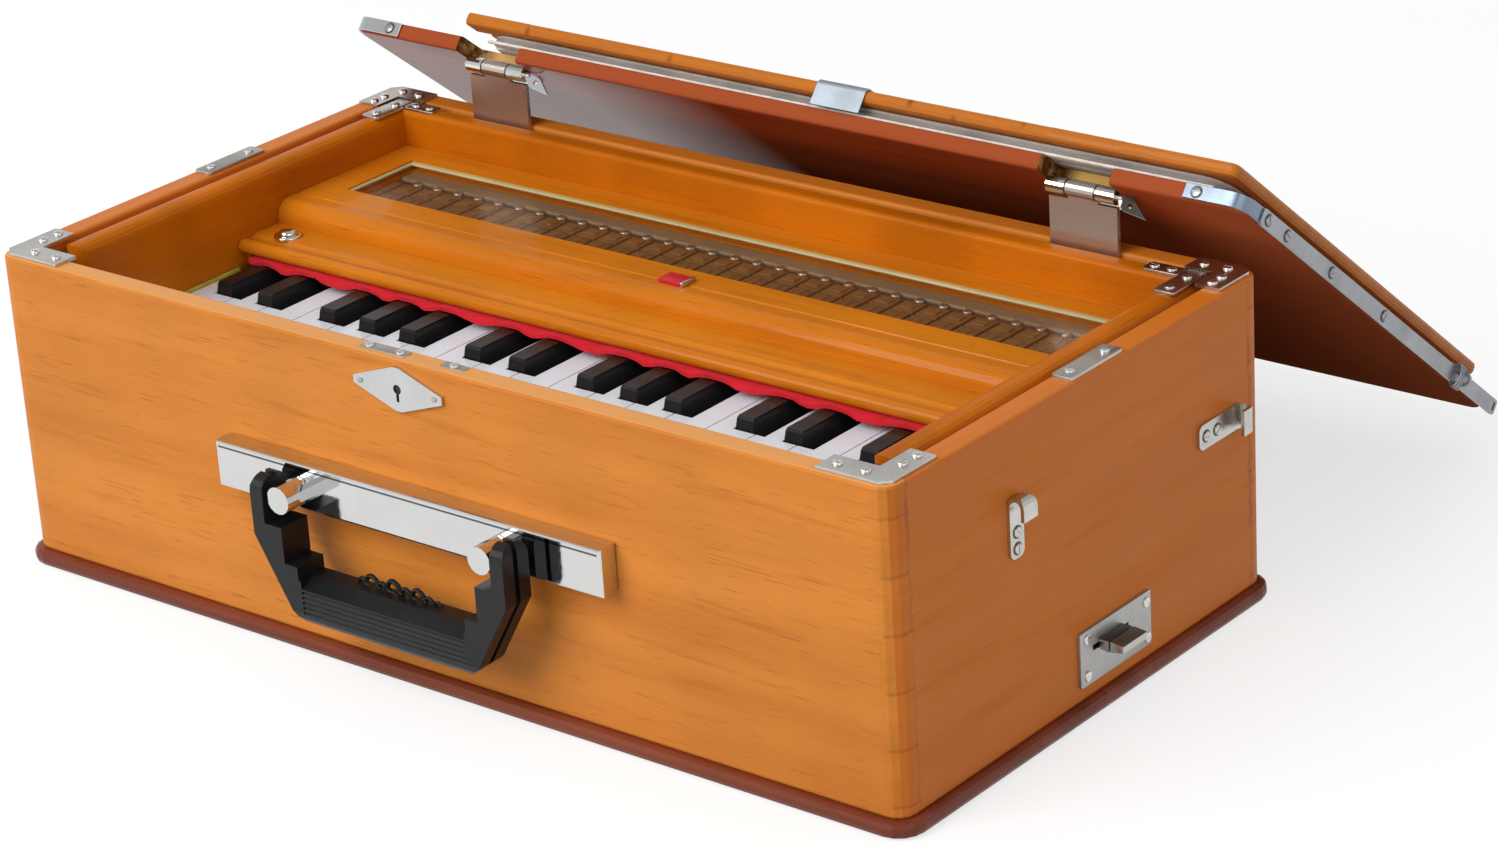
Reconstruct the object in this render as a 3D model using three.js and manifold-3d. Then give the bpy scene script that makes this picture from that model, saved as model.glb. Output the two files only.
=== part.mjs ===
// Indian harmonium in a suitcase case, lid and bellows swung open to the rear.
// Millimetres, +Z up, +X along the keyboard, the player's side towards -Y.
// Origin: centre of the underside of the base board.
import * as THREE from 'three';
import { mergeVertices } from 'three/addons/utils/BufferGeometryUtils.js';
import Module from 'manifold-3d';

const wasm = await Module();
wasm.setup();

// Clearances and shared overrun
const seat = 0.3;
const overrun = 2;
const weld = 0.001;
const arc_steps = 4;
const round_steps = 16;

// Outer case
const case_length = 480;
const case_width = 254;
const rim_height = 145;
const wall = 11;
const case_corner = 8;
const wall_edge = 1.2;
const base_thick = 7;
const base_overhang = 4;
const base_edge = 2.4;

// Inner body: cheeks, rear board, key bed and reed deck
const body_gap = 3.5;
const cheek_thick = 12.5;
const cheek_front_setback = 10;
const cheek_nose = 5;
const rear_board_thick = 10;
const bed_below_keys = 7.5;
const slip_below_keys = 4.5;
const slip_gap = 2.6;
const slip_round = 4;
const rail_width = 5;
const rail_place_share = 0.063;
const stop_place_share = -0.52;
const stop_width = 9;
const deck_front_share = 0.3386;
const deck_below_keys = 5.5;
const bank_gap = 1;
const bank_below_glass = 2.2;
const cell_width_share = 0.62;
const cell_depth = 3;
const cell_inset = 5;

// Keys
const white_count = 20;
const key_end_gap = 2;
const key_gap = 0.7;
const key_front_share = -0.6457;
const key_back_share = 0.3071;
const key_thick = 13;
const key_top_below_rim = 40.5;
const key_lip = 1.5;
const key_cap = 2.4;
const key_travel = 4.2;
const pallet_length = 16;
const black_front_share = -0.3016;
const black_width_share = 0.441;
const black_rise = 5.4;
const black_slope = 2.2;
const black_top_width_share = 0.88;
const black_fall_start_share = -0.115;
const black_fall_end_share = -0.04;
const black_tail_rise = 1.4;
const black_notch = 0.7;
const black_clear = 6.5;
const black_shift_shares = { 1: -0.3, 2: -0.12, 4: -0.33, 5: -0.21, 6: -0.09 };
const black_after_whites = [1, 2, 4, 5, 6];
const note_names = ['c', 'd', 'e', 'f', 'g', 'a', 'b'];

// Key cover board
const cover_front_share = -0.0866;
const cover_back_share = 0.1181;
const cover_thick = 6.5;
const cover_top_below_rim = 27;
const cover_bead = 5;
const cover_cove = 1;
const cleat_width = 2.4;

// Window board and glass
const window_board_back_gap = 0.3;
const window_board_rise = 10;
const window_bullnose = 7.5;
const window_groove_share = 0.2283;
const groove_width = 1.6;
const groove_depth = 1;
const window_end_margin = 17;
const window_front_share = 0.3465;
const window_back_share = 0.6929;
const window_ledge = 3;
const glass_thick = 2;
const glass_below = 1.6;

// Handle bar, posts and handle
const bar_length = 210;
const bar_height = 20.5;
const bar_depth = 10;
const bar_below_rim = 63.5;
const bar_edge = 1;
const post_clear = 1.2;
const post_radius = 6;
const post_length = 15.5;
const pivot_out = 9.5;
const pin_radius = 2.2;
const pin_reach = 4;
const grip_half_top = 69;
const grip_low_inset = 18;
const grip_inner_inset = 23;
const grip_top = 8.8;
const grip_knee = 17;
const grip_low = 48;
const grip_bottom = 52;
const grip_step_down = 11;
const grip_step_low = 27;
const grip_step_inset = 16;
const grip_bar_top = 33;
const arm_depth = 15.4;
const arm_groove_width = 2.6;
const arm_groove_depth = 1.8;
const arm_thick = 6.8;
const grip_rib_depth = 0.8;
const grip_rib_count = 5;
const grip_rib_pitch = 2.3;
const grip_face_round = 4.5;
const grip_edge = 1.2;

// Lock escutcheon
const lock_half_length = 24;
const lock_half_height = 9.5;
const lock_tip_cut = 3.4;
const lock_thick = 1.6;
const lock_below_rim = 12;
const lock_shift = -4.4;
const keyhole_radius = 2.1;
const keyhole_slot = 1.5;
const keyhole_drop = 5.4;

// Corner plates on the rim
const plate_thick = 1.5;
const plate_width = 12;
const plate_chamfer = 4;
const plate_front_arm = 33;
const plate_side_arm = 31;
const plate_rear_arm = 26;
const plate_rear_side_arm = 26;

// Side fittings on the right wall
const hook_length = 27;
const hook_width = 9;
const hook_rear_width = 11;
const hook_plate_thick = 1.6;
const hook_front_share = -0.3937;
const hook_front_below_rim = 44;
const hook_rear_share = 0.7323;
const hook_rear_below_rim = 56;
const hook_rear_length = 32;
const hook_bend = 2.6;
const hook_lip = 5;
const hook_corner = 3;
const bolt_plate_length = 50;
const bolt_plate_height = 31;
const bolt_plate_share = 0.1142;
const bolt_plate_rise = 21.5;
const bolt_slot_length = 33;
const bolt_slot_height = 9;
const bolt_knob_length = 17;
const bolt_knob_height = 13;
const bolt_knob_out = 10;
const bolt_neck_length = 14;
const bolt_neck_height = 7;
const bolt_well_depth = 6;
const bolt_knob_offset = 3;

// Hinges
const hinge_place_share = 0.675;
const hinge_rise = 25;
const hinge_axis_inset = 1.7;
const hinge_plate_width = 34;
const hinge_plate_thick = 2;
const hinge_plate_depth = 24;
const knuckle_radius = 3.6;
const knuckle_bore = 1.9;
const knuckle_centre = 15;
const leaf_length = 19;
const leaf_thick = 1.3;
const spear_length = 17;
const spear_half = 3.4;
const spear_droop_angle = 25;
const spear_hole = 1.2;
const spear_neck = 3;

// Lid
const lid_overhang = 4;
const lid_thick = 7.5;
const lid_front_overhang = 1;
const lid_rear_setback = 1;
const lid_below_axis = 1.6;
const lid_open_angle = 39;
const lid_corner = 7;
const lid_edge = 1.6;
const notch_width = 36;
const notch_depth = 17;

// Bellows on the lid
const folds_thick = 5.2;
const board_thick = 6;
const board_left_inset = 65;
const board_right_inset = 4;
const board_past_lid = 0.5;
const board_corner = 4;
const board_edge = 2;
const board_notch_past = 1.6;
const board_hinge_share = 0.985;
const folds_inset = 5;
const folds_corner = 12;
const fold_count = 3;
const fold_groove = 1.6;
const clip_place_share = 0.15;
const clip_width = 26;
const clip_thick = 0.6;
const clip_bend = 2.5;
const clip_top = 16;

// Strap on the lid's right edge
const strap_thick = 1.5;
const strap_width = 7;
const strap_start = 14;
const strap_overrun = 6;
const strap_loop_radius = 3.6;
const strap_loop_share = 0.86;
const strap_slot = 1.6;
const strap_slot_length = 4;

// Finishes
const finish = (colour, roughness, metalness = 0) => (
  new THREE.MeshStandardMaterial({ color: colour, roughness, metalness })
);
const amber_wood = finish(0xc8781f, 0.35);
const pale_wood = finish(0xd08a35, 0.35);
const red_wood = finish(0x6b2412, 0.3);
const chrome = finish(0xd4d6d8, 0.18, 1);
const steel = finish(0xa9a9a4, 0.35, 1);
const ivory_plastic = finish(0xf1f2f4, 0.3);
const black_plastic = finish(0x111111, 0.35);
const glass = finish(0xb8b08a, 0.1);
const bellows_paper = finish(0xb9b4ac, 0.8);

// Derived places
const half_length = case_length / 2;
const half_width = case_width / 2;
const inner_half_length = half_length - wall;
const inner_half_width = half_width - wall;
const body_half_length = inner_half_length - body_gap;
const body_half_width = inner_half_width - body_gap;
const well_half_length = body_half_length - cheek_thick;
const well_back = body_half_width - rear_board_thick;
const key_top = rim_height - key_top_below_rim;
const key_bottom = key_top - key_thick;
const bed_top = key_bottom - bed_below_keys;
const slip_top = key_top - slip_below_keys;
const deck_top = key_top - deck_below_keys;
const key_front = half_width * key_front_share;
const key_back = half_width * key_back_share;
const rail_y = half_width * rail_place_share;
const stop_y = half_width * stop_place_share;
const deck_front = half_width * deck_front_share;
const white_pitch = 2 * (well_half_length - key_end_gap) / white_count;
const black_width = white_pitch * black_width_share;
const black_front = half_width * black_front_share;
const black_fall_start = half_width * black_fall_start_share;
const black_fall_end = half_width * black_fall_end_share;
const cover_top = rim_height - cover_top_below_rim;
const cover_bottom = cover_top - cover_thick;
const cover_front = half_width * cover_front_share;
const cover_back = half_width * cover_back_share;
const window_groove = half_width * window_groove_share;
const window_length = 2 * (well_half_length - window_end_margin);
const window_front = half_width * window_front_share;
const window_back = half_width * window_back_share;
const window_top = cover_top + window_board_rise;
const glass_bottom = window_top - glass_below - glass_thick;
const bar_centre_height = rim_height - bar_below_rim;
const arm_inner = grip_half_top - arm_thick;
const post_spread = 2 * (arm_inner - post_radius - post_clear);
const grip_half_low = grip_half_top - grip_low_inset;
const grip_inner = grip_half_top - grip_inner_inset;
const grip_step_half = grip_half_top - grip_step_inset;
const hook_front_y = half_width * hook_front_share;
const hook_front_z = rim_height - hook_front_below_rim;
const hook_rear_y = half_width * hook_rear_share;
const hook_rear_z = rim_height - hook_rear_below_rim;
const bolt_plate_y = half_width * bolt_plate_share;
const bolt_plate_z = base_thick + bolt_plate_rise;
const bolt_knob_y = bolt_plate_y + bolt_knob_offset;
const hinge_x = half_length * hinge_place_share;
const hinge_axis_y = inner_half_width - hinge_axis_inset;
const axis_z = rim_height + hinge_rise;
const lid_near = half_width - hinge_axis_y - lid_rear_setback;
const lid_far = half_width + hinge_axis_y + lid_front_overhang;
const lid_length = lid_near + lid_far;
const board_left = board_left_inset - half_length;
const board_right = half_length - board_right_inset;
const board_near = lid_near + board_past_lid;
const clip_centre = half_length * clip_place_share;
const wall_face = -half_width;

// Shape helpers
function outline(points) {
  const kept = [];
  for (const p of points) {
    const q = Array.isArray(p) ? new THREE.Vector2(...p) : p;
    if (kept.length === 0 || kept[kept.length - 1].distanceTo(q) > weld) {
      kept.push(q);
    }
  }
  if (kept[0].distanceTo(kept[kept.length - 1]) < weld) {
    kept.pop();
  }
  return new THREE.Shape(kept);
}

function arc(x, y, r, from, to, steps) {
  return Array.from({ length: steps + 1 }, (_, i) => {
    const angle = (from + (to - from) * i / steps) * Math.PI / 2;
    return [x + r * Math.cos(angle), y + r * Math.sin(angle)];
  });
}

function disc(x, y, r, steps = round_steps) {
  return outline(arc(x, y, r, 0, 4, steps));
}

function roundedRect(x0, y0, x1, y1, r, steps = arc_steps) {
  return outline([
    ...arc(x1 - r, y0 + r, r, -1, 0, steps),
    ...arc(x1 - r, y1 - r, r, 0, 1, steps),
    ...arc(x0 + r, y1 - r, r, 1, 2, steps),
    ...arc(x0 + r, y0 + r, r, 2, 3, steps),
  ]);
}

function rect(x0, y0, x1, y1) {
  return outline([[x0, y0], [x1, y0], [x1, y1], [x0, y1]]);
}

function extruded(shape, depth, edge = 0) {
  const g = new THREE.ExtrudeGeometry(shape, {
    depth: depth - 2 * edge,
    bevelEnabled: edge > 0,
    bevelThickness: edge,
    bevelSize: edge,
    bevelOffset: -edge,
    bevelSegments: 2,
  });
  return g.translate(0, 0, edge);
}

// Profile in (x, y) raised along +Z from z0 to z1
function raised(shape, z0, z1, edge) {
  return extruded(shape, z1 - z0, edge).translate(0, 0, z0);
}

// Profile in (y, z) run along +X from x0 to x1
function alongX(shape, x0, x1, edge) {
  const g = extruded(shape, x1 - x0, edge);
  const turn = new THREE.Matrix4().makeBasis(
    new THREE.Vector3(0, 1, 0),
    new THREE.Vector3(0, 0, 1),
    new THREE.Vector3(1, 0, 0),
  );
  return g.applyMatrix4(turn).translate(x0, 0, 0);
}

// Profile in (x, z) run along -Y from y1 down to y0
function alongY(shape, y0, y1, edge) {
  const g = extruded(shape, y1 - y0, edge);
  const turn = new THREE.Matrix4().makeBasis(
    new THREE.Vector3(1, 0, 0),
    new THREE.Vector3(0, 0, 1),
    new THREE.Vector3(0, -1, 0),
  );
  return g.applyMatrix4(turn).translate(0, y1, 0);
}

function block(x0, y0, z0, x1, y1, z1) {
  return new THREE.BoxGeometry(x1 - x0, y1 - y0, z1 - z0)
    .translate((x0 + x1) / 2, (y0 + y1) / 2, (z0 + z1) / 2);
}

// Closed solids and their booleans
function solid(geometry) {
  if (geometry instanceof wasm.Manifold) {
    return geometry;
  }
  const bare = geometry.clone();
  bare.deleteAttribute('normal');
  bare.deleteAttribute('uv');
  const welded = mergeVertices(bare, weld);
  const faces = [];
  for (let i = 0; i < welded.index.count; i += 3) {
    const [a, b, c] = [0, 1, 2].map((k) => welded.index.getX(i + k));
    if (a !== b && b !== c && c !== a) {
      faces.push(a, b, c);
    }
  }
  return new wasm.Manifold(new wasm.Mesh({
    numProp: 3,
    vertProperties: Float32Array.from(welded.attributes.position.array),
    triVerts: Uint32Array.from(faces),
  }));
}

function joined(...pieces) {
  return pieces.map(solid).reduce((a, b) => a.add(b));
}

function cut(piece, ...tools) {
  return tools.map(solid).reduce((a, b) => a.subtract(b), solid(piece));
}

function common(a, b) {
  return solid(a).intersect(solid(b));
}

function toGeometry(piece) {
  const m = solid(piece).getMesh();
  const g = new THREE.BufferGeometry();
  g.setAttribute('position', new THREE.BufferAttribute(Float32Array.from(m.vertProperties), 3));
  g.setIndex(new THREE.BufferAttribute(Uint32Array.from(m.triVerts), 1));
  g.computeVertexNormals();
  return g;
}

const group = new THREE.Group();

function place(name, piece, material, parent = group) {
  const mesh = new THREE.Mesh(toGeometry(piece), material);
  mesh.name = name;
  parent.add(mesh);
  return mesh;
}

// Base board
place('base_board', raised(
  roundedRect(
    -half_length - base_overhang,
    -half_width - base_overhang,
    half_length + base_overhang,
    half_width + base_overhang,
    case_corner + base_overhang,
  ),
  0,
  base_thick,
  base_edge,
), red_wood);

// Case walls: a rounded ring with the wells for the side bolt and the hinge plates' gap inside
const wall_shape = roundedRect(-half_length, -half_width, half_length, half_width, case_corner);
wall_shape.holes.push(rect(
  -inner_half_length,
  -inner_half_width,
  inner_half_length,
  inner_half_width,
));
const bolt_well = block(
  half_length - bolt_well_depth,
  bolt_plate_y - bolt_slot_length / 2,
  bolt_plate_z - bolt_slot_height / 2,
  half_length + overrun,
  bolt_plate_y + bolt_slot_length / 2,
  bolt_plate_z + bolt_slot_height / 2,
);
place('case_walls', cut(raised(wall_shape, base_thick, rim_height, wall_edge), bolt_well), amber_wood);

// Inner body: cheeks with rounded tops, rear board, key bed, slip, rails and reed deck
const cheek_front = -body_half_width + cheek_front_setback;
const cheek_section = roundedRect(
  well_half_length,
  base_thick,
  body_half_length,
  rim_height,
  cheek_nose,
);
const cheek_plan = roundedRect(
  well_half_length,
  cheek_front,
  body_half_length,
  body_half_width,
  cheek_nose,
);
const cheek_right = common(
  alongY(cheek_section, cheek_front, body_half_width),
  raised(cheek_plan, base_thick, rim_height),
);
const cheek_left = cheek_right.mirror([1, 0, 0]);
const cheek_foot = block(
  -body_half_length,
  cheek_front + cheek_nose,
  base_thick,
  body_half_length,
  body_half_width,
  bed_top,
);
const slip_back = key_front - slip_gap;
const slip = alongX(
  roundedRect(-body_half_width, base_thick, slip_back, slip_top, slip_round),
  -body_half_length,
  body_half_length,
);
const rear_board = alongX(
  roundedRect(well_back, base_thick, body_half_width, rim_height, cheek_nose / 2),
  -body_half_length + cheek_nose,
  body_half_length - cheek_nose,
);
const rail = block(
  -well_half_length - overrun,
  rail_y - rail_width / 2,
  bed_top - overrun,
  well_half_length + overrun,
  rail_y + rail_width / 2,
  key_bottom - seat,
);
const stop_reach = rail_y - stop_y;
const key_reach = rail_y - key_front;
const key_angle = key_travel / key_reach;
const stop_rail = block(
  -well_half_length - overrun,
  stop_y - stop_width / 2,
  bed_top - overrun,
  well_half_length + overrun,
  stop_y + stop_width / 2,
  key_bottom - (stop_reach + stop_width / 2) * key_angle - seat,
);
const deck = block(
  -well_half_length - overrun,
  deck_front,
  bed_top - overrun,
  well_half_length + overrun,
  well_back + overrun,
  deck_top,
);
const row_width = white_count * white_pitch;
const bank_inset = window_ledge + bank_gap;
const bank_half = window_length / 2 - bank_inset;
const bank_front = window_front + bank_inset;
const bank_back = window_back - bank_inset;
const bank_top = glass_bottom - bank_below_glass;
const bank = block(
  -bank_half,
  bank_front,
  deck_top - overrun,
  bank_half,
  bank_back,
  bank_top,
);
const cell_pitch = row_width / Math.round(white_count * 12 / 7);
const cell_count = Math.floor(2 * bank_half / cell_pitch);
const cells = [];
for (let i = 0; i < cell_count; i += 1) {
  const x = (i + 0.5 - cell_count / 2) * cell_pitch;
  const half = cell_pitch * cell_width_share / 2;
  cells.push(block(
    x - half,
    bank_front + cell_inset,
    bank_top - cell_depth,
    x + half,
    bank_back - cell_inset,
    bank_top + overrun,
  ));
}
const tail_rise = (key_back - rail_y) * key_angle;
const cleat = block(
  well_half_length - cleat_width,
  cover_front + cover_bead,
  key_top + tail_rise + seat,
  well_half_length + overrun,
  well_back + overrun,
  cover_bottom - seat,
);
const cleats = joined(cleat, solid(cleat).mirror([1, 0, 0]));
const body = joined(
  cheek_foot,
  slip,
  cheek_right,
  cheek_left,
  rear_board,
  rail,
  stop_rail,
  deck,
  bank,
  cleats,
);
place('inner_body', cut(body, ...cells), pale_wood);

// Keys: levers on the balance rail, white fronts with a cap, black fronts raised and tapered
const row_left = -row_width / 2;
function whiteOutline(index, front) {
  const step = index % 7;
  const x0 = row_left + index * white_pitch + key_gap / 2;
  const x1 = row_left + (index + 1) * white_pitch - key_gap / 2;
  let left = x0;
  let right = x1;
  if (black_after_whites.includes(step) && index > 0) {
    const middle = row_left + (index + black_shift_shares[step]) * white_pitch;
    left = middle + black_width / 2 + black_clear;
  }
  if (black_after_whites.includes(step + 1) && index < white_count - 1) {
    const middle = row_left + (index + 1 + black_shift_shares[step + 1]) * white_pitch;
    right = middle - black_width / 2 - black_notch;
  }
  const notch = black_front - black_notch;
  const points = [[x0, front], [x1, front]];
  if (right !== x1) {
    points.push([x1, notch], [right, notch]);
  }
  points.push([right, key_back], [left, key_back]);
  if (left !== x0) {
    points.push([left, notch], [x0, notch]);
  }
  return { shape: outline(points), left, right };
}

function pallet(x0, x1) {
  return block(
    x0,
    key_back - pallet_length,
    bed_top + seat,
    x1,
    key_back,
    key_bottom + overrun,
  );
}

for (let i = 0; i < white_count; i += 1) {
  const lever = whiteOutline(i, key_front + key_lip);
  const cap = whiteOutline(i, key_front);
  const key = joined(
    raised(lever.shape, key_bottom, key_top - key_cap / 2),
    raised(cap.shape, key_top - key_cap, key_top),
    pallet(lever.left, lever.right),
  );
  const octave = Math.floor(i / 7) + 1;
  place(`key_white_${note_names[i % 7]}${octave}`, key, ivory_plastic);
}

const black_side = outline([
  [black_front, key_bottom],
  [key_back, key_bottom],
  [key_back, key_top],
  [rail_y, key_top],
  [black_fall_end, key_top + black_tail_rise],
  [black_fall_start, key_top + black_rise],
  [black_front + black_slope, key_top + black_rise],
  [black_front + black_slope / 2, key_top + black_rise * 0.8],
  [black_front, key_top - key_cap],
]);
const black_half = black_width / 2;
const black_crown = black_half * black_top_width_share;
const black_section = outline([
  [-black_half, bed_top],
  [black_half, bed_top],
  [black_half, key_top],
  [(black_half + 3 * black_crown) / 4, key_top + black_rise * 0.86],
  [black_crown, key_top + black_rise],
  [-black_crown, key_top + black_rise],
  [-(black_half + 3 * black_crown) / 4, key_top + black_rise * 0.86],
  [-black_half, key_top],
]);
const black_key = joined(
  common(
    alongX(black_side, -black_half, black_half),
    alongY(black_section, black_front - overrun, key_back + overrun),
  ),
  pallet(-black_half, black_half),
);
for (let i = 1; i < white_count; i += 1) {
  const step = i % 7;
  if (black_after_whites.includes(step)) {
    const x = row_left + (i + black_shift_shares[step]) * white_pitch;
    const octave = Math.floor(i / 7) + 1;
    const mesh = place(`key_black_${note_names[step - 1]}s${octave}`, black_key, black_plastic);
    mesh.position.x = x;
  }
}

// Key cover board with a bead along its front edge
const board_half = well_half_length - seat;
const bead = cover_thick / 2;
const cover_curve = new THREE.CubicBezierCurve(
  new THREE.Vector2(cover_front + 2.2 * cover_bead, cover_top),
  new THREE.Vector2(cover_front + 1.7 * cover_bead, cover_top - 2 * cover_cove),
  new THREE.Vector2(cover_front + 1.3 * cover_bead, cover_top - cover_cove),
  new THREE.Vector2(cover_front + bead, cover_top),
);
const cover_profile = outline([
  [cover_back, cover_bottom],
  [cover_back, cover_top],
  ...cover_curve.getPoints(round_steps / 2),
  ...arc(cover_front + bead, cover_bottom + bead, bead, 1, 3, round_steps / 2),
]);
place('key_cover_board', alongX(cover_profile, -board_half, board_half), pale_wood);

// Window board: bullnose front, groove, opening with a glass ledge
const window_front_edge = cover_back + window_board_back_gap;
const window_back_edge = well_back - seat;
const window_profile = outline([
  [window_back_edge, cover_bottom],
  [window_back_edge, window_top],
  [window_groove + groove_width / 2, window_top],
  [window_groove, window_top - groove_depth],
  [window_groove - groove_width / 2, window_top],
  ...arc(
    window_front_edge + window_bullnose,
    window_top - window_bullnose,
    window_bullnose,
    1,
    2,
    round_steps / 2,
  ),
  [window_front_edge, cover_bottom],
]);
const opening = block(
  -window_length / 2,
  window_front,
  glass_bottom,
  window_length / 2,
  window_back,
  window_top + overrun,
);
const ledge_opening = block(
  -window_length / 2 + window_ledge,
  window_front + window_ledge,
  cover_bottom - overrun,
  window_length / 2 - window_ledge,
  window_back - window_ledge,
  window_top,
);
const window_board = cut(
  alongX(window_profile, -board_half, board_half),
  opening,
  ledge_opening,
);
place('window_board', window_board, pale_wood);

place('glass_pane', block(
  -window_length / 2 + seat,
  window_front + seat,
  glass_bottom + seat,
  window_length / 2 - seat,
  window_back - seat,
  window_top - glass_below + seat,
), glass);

// Handle bar with its two posts, and the swinging handle
const bar_z0 = bar_centre_height - bar_height / 2;
const bar_face = wall_face - bar_depth;
const bar = alongY(
  rect(-bar_length / 2, bar_z0, bar_length / 2, bar_z0 + bar_height),
  bar_face,
  wall_face,
  bar_edge,
);
const pivot_y = bar_face - pivot_out;
const pivot_z = bar_centre_height;
function postAt(x) {
  return alongY(disc(x, pivot_z, post_radius), bar_face - post_length, bar_face + overrun);
}
function pinAt(side, radius, inner, outer) {
  const ends = [side * inner, side * outer].sort((a, b) => a - b);
  return alongX(disc(pivot_y, pivot_z, radius, round_steps / 2), ...ends);
}
const pin_end = post_spread / 2 + post_radius + pin_reach;
place('handle_bar', joined(
  bar,
  postAt(-post_spread / 2),
  postAt(post_spread / 2),
  pinAt(-1, pin_radius, post_spread / 2, pin_end),
  pinAt(1, pin_radius, post_spread / 2, pin_end),
), chrome);

// Handle outline seen from the front, heights taken from the pivot
const handle_outline = outline([
  [-grip_half_top, pivot_z + grip_top / 2],
  [-grip_half_top + grip_edge, pivot_z + grip_top],
  [-arm_inner, pivot_z + grip_top],
  [-arm_inner, pivot_z - grip_step_down],
  [-grip_step_half, pivot_z - grip_step_down],
  [-grip_step_half, pivot_z - grip_step_low],
  [-grip_inner, pivot_z - grip_step_low],
  [-grip_inner, pivot_z - grip_bar_top],
  [grip_inner, pivot_z - grip_bar_top],
  [grip_inner, pivot_z - grip_step_low],
  [grip_step_half, pivot_z - grip_step_low],
  [grip_step_half, pivot_z - grip_step_down],
  [arm_inner, pivot_z - grip_step_down],
  [arm_inner, pivot_z + grip_top],
  [grip_half_top - grip_edge, pivot_z + grip_top],
  [grip_half_top, pivot_z + grip_top / 2],
  [grip_half_top, pivot_z - grip_knee],
  [grip_half_low, pivot_z - grip_low],
  [grip_inner, pivot_z - grip_bottom],
  [-grip_inner, pivot_z - grip_bottom],
  [-grip_half_low, pivot_z - grip_low],
  [-grip_half_top, pivot_z - grip_knee],
]);
const arm_front = pivot_y - arm_depth / 2;
const arm_back = pivot_y + arm_depth / 2;
const handle_side = roundedRect(
  arm_front,
  pivot_z - grip_bottom - overrun,
  arm_back,
  pivot_z + grip_top,
  arm_depth / 2 - grip_edge,
);
const grip_ribs = [];
for (let i = 0; i < grip_rib_count; i += 1) {
  const z = pivot_z - grip_bottom + grip_face_round + i * grip_rib_pitch;
  const notch = outline([
    [arm_front - overrun, z - groove_width / 2],
    [arm_front, z - groove_width / 2],
    [arm_front + grip_rib_depth, z],
    [arm_front, z + groove_width / 2],
    [arm_front - overrun, z + groove_width / 2],
  ]);
  grip_ribs.push(alongX(notch, -grip_inner + grip_edge, grip_inner - grip_edge));
}
const pin_holes = [-1, 1].map((side) => (
  pinAt(side, pin_radius + seat, arm_inner - overrun, pin_end + seat)
));
const grip_slope = outline([
  [arm_front - overrun, pivot_z - grip_bar_top + overrun],
  [arm_front - overrun, pivot_z - grip_low + grip_rib_count * grip_rib_pitch],
  [arm_front, pivot_z - grip_low + grip_rib_count * grip_rib_pitch],
  [pivot_y + arm_depth / 4, pivot_z - grip_bar_top + overrun],
]);
const groove_half = grip_half_top - arm_groove_depth;
const groove_shape = rect(
  -grip_half_top - overrun,
  pivot_z - grip_low,
  grip_half_top + overrun,
  pivot_z + grip_top + overrun,
);
groove_shape.holes.push(outline([
  [-grip_half_low + arm_groove_depth, pivot_z - grip_low + weld],
  [grip_half_low - arm_groove_depth, pivot_z - grip_low + weld],
  [groove_half, pivot_z - grip_knee],
  [groove_half, pivot_z + grip_top - arm_groove_depth],
  [-groove_half, pivot_z + grip_top - arm_groove_depth],
  [-groove_half, pivot_z - grip_knee],
]));
const arm_groove = alongY(
  groove_shape,
  pivot_y - arm_groove_width / 2,
  pivot_y + arm_groove_width / 2,
);
place('handle_grip', cut(
  common(
    alongY(handle_outline, arm_front, arm_back),
    alongX(handle_side, -grip_half_top, grip_half_top),
  ),
  alongX(grip_slope, -grip_inner + grip_edge, grip_inner - grip_edge),
  arm_groove,
  ...grip_ribs,
  ...pin_holes,
), black_plastic);

// Lock escutcheon with its keyhole
const lock_z = rim_height - lock_below_rim;
const tip = lock_tip_cut / 2;
const lock_shape = outline([
  [lock_shift - lock_half_length, lock_z - tip],
  [lock_shift - tip, lock_z - lock_half_height],
  [lock_shift + tip, lock_z - lock_half_height],
  [lock_shift + lock_half_length, lock_z - tip],
  [lock_shift + lock_half_length, lock_z + tip],
  [lock_shift + tip, lock_z + lock_half_height],
  [lock_shift - tip, lock_z + lock_half_height],
  [lock_shift - lock_half_length, lock_z + tip],
]);
const slot_share = Math.asin(keyhole_slot / 2 / keyhole_radius) * 2 / Math.PI;
const keyhole = outline([
  ...arc(lock_shift, lock_z, keyhole_radius, -1 + slot_share, 3 - slot_share, round_steps),
  [lock_shift - keyhole_slot / 2, lock_z - keyhole_drop],
  [lock_shift + keyhole_slot / 2, lock_z - keyhole_drop],
]);
lock_shape.holes.push(keyhole);
place('lock_escutcheon', alongY(lock_shape, wall_face - lock_thick, wall_face), steel);

// Corner plates: angled straps over the rim's corners
function cornerPlate(name, sx, sy, armX, armY) {
  const x0 = half_length - case_corner / 4;
  const y0 = half_width - case_corner / 4;
  const points = [
    [x0 - plate_chamfer, y0],
    [x0 - armX, y0],
    [x0 - armX, y0 - plate_width],
    [x0 - plate_width, y0 - plate_width],
    [x0 - plate_width, y0 - armY],
    [x0, y0 - armY],
    [x0, y0 - plate_chamfer],
  ].map(([x, y]) => [sx * x, sy * y]);
  if (sx * sy < 0) {
    points.reverse();
  }
  place(name, raised(outline(points), rim_height, rim_height + plate_thick), steel);
}
cornerPlate('corner_plate_front_left', -1, -1, plate_front_arm, plate_side_arm);
cornerPlate('corner_plate_front_right', 1, -1, plate_front_arm, plate_side_arm);
cornerPlate('corner_plate_rear_left', -1, 1, plate_rear_arm, plate_rear_side_arm);
cornerPlate('corner_plate_rear_right', 1, 1, plate_rear_arm, plate_rear_side_arm);

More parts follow.
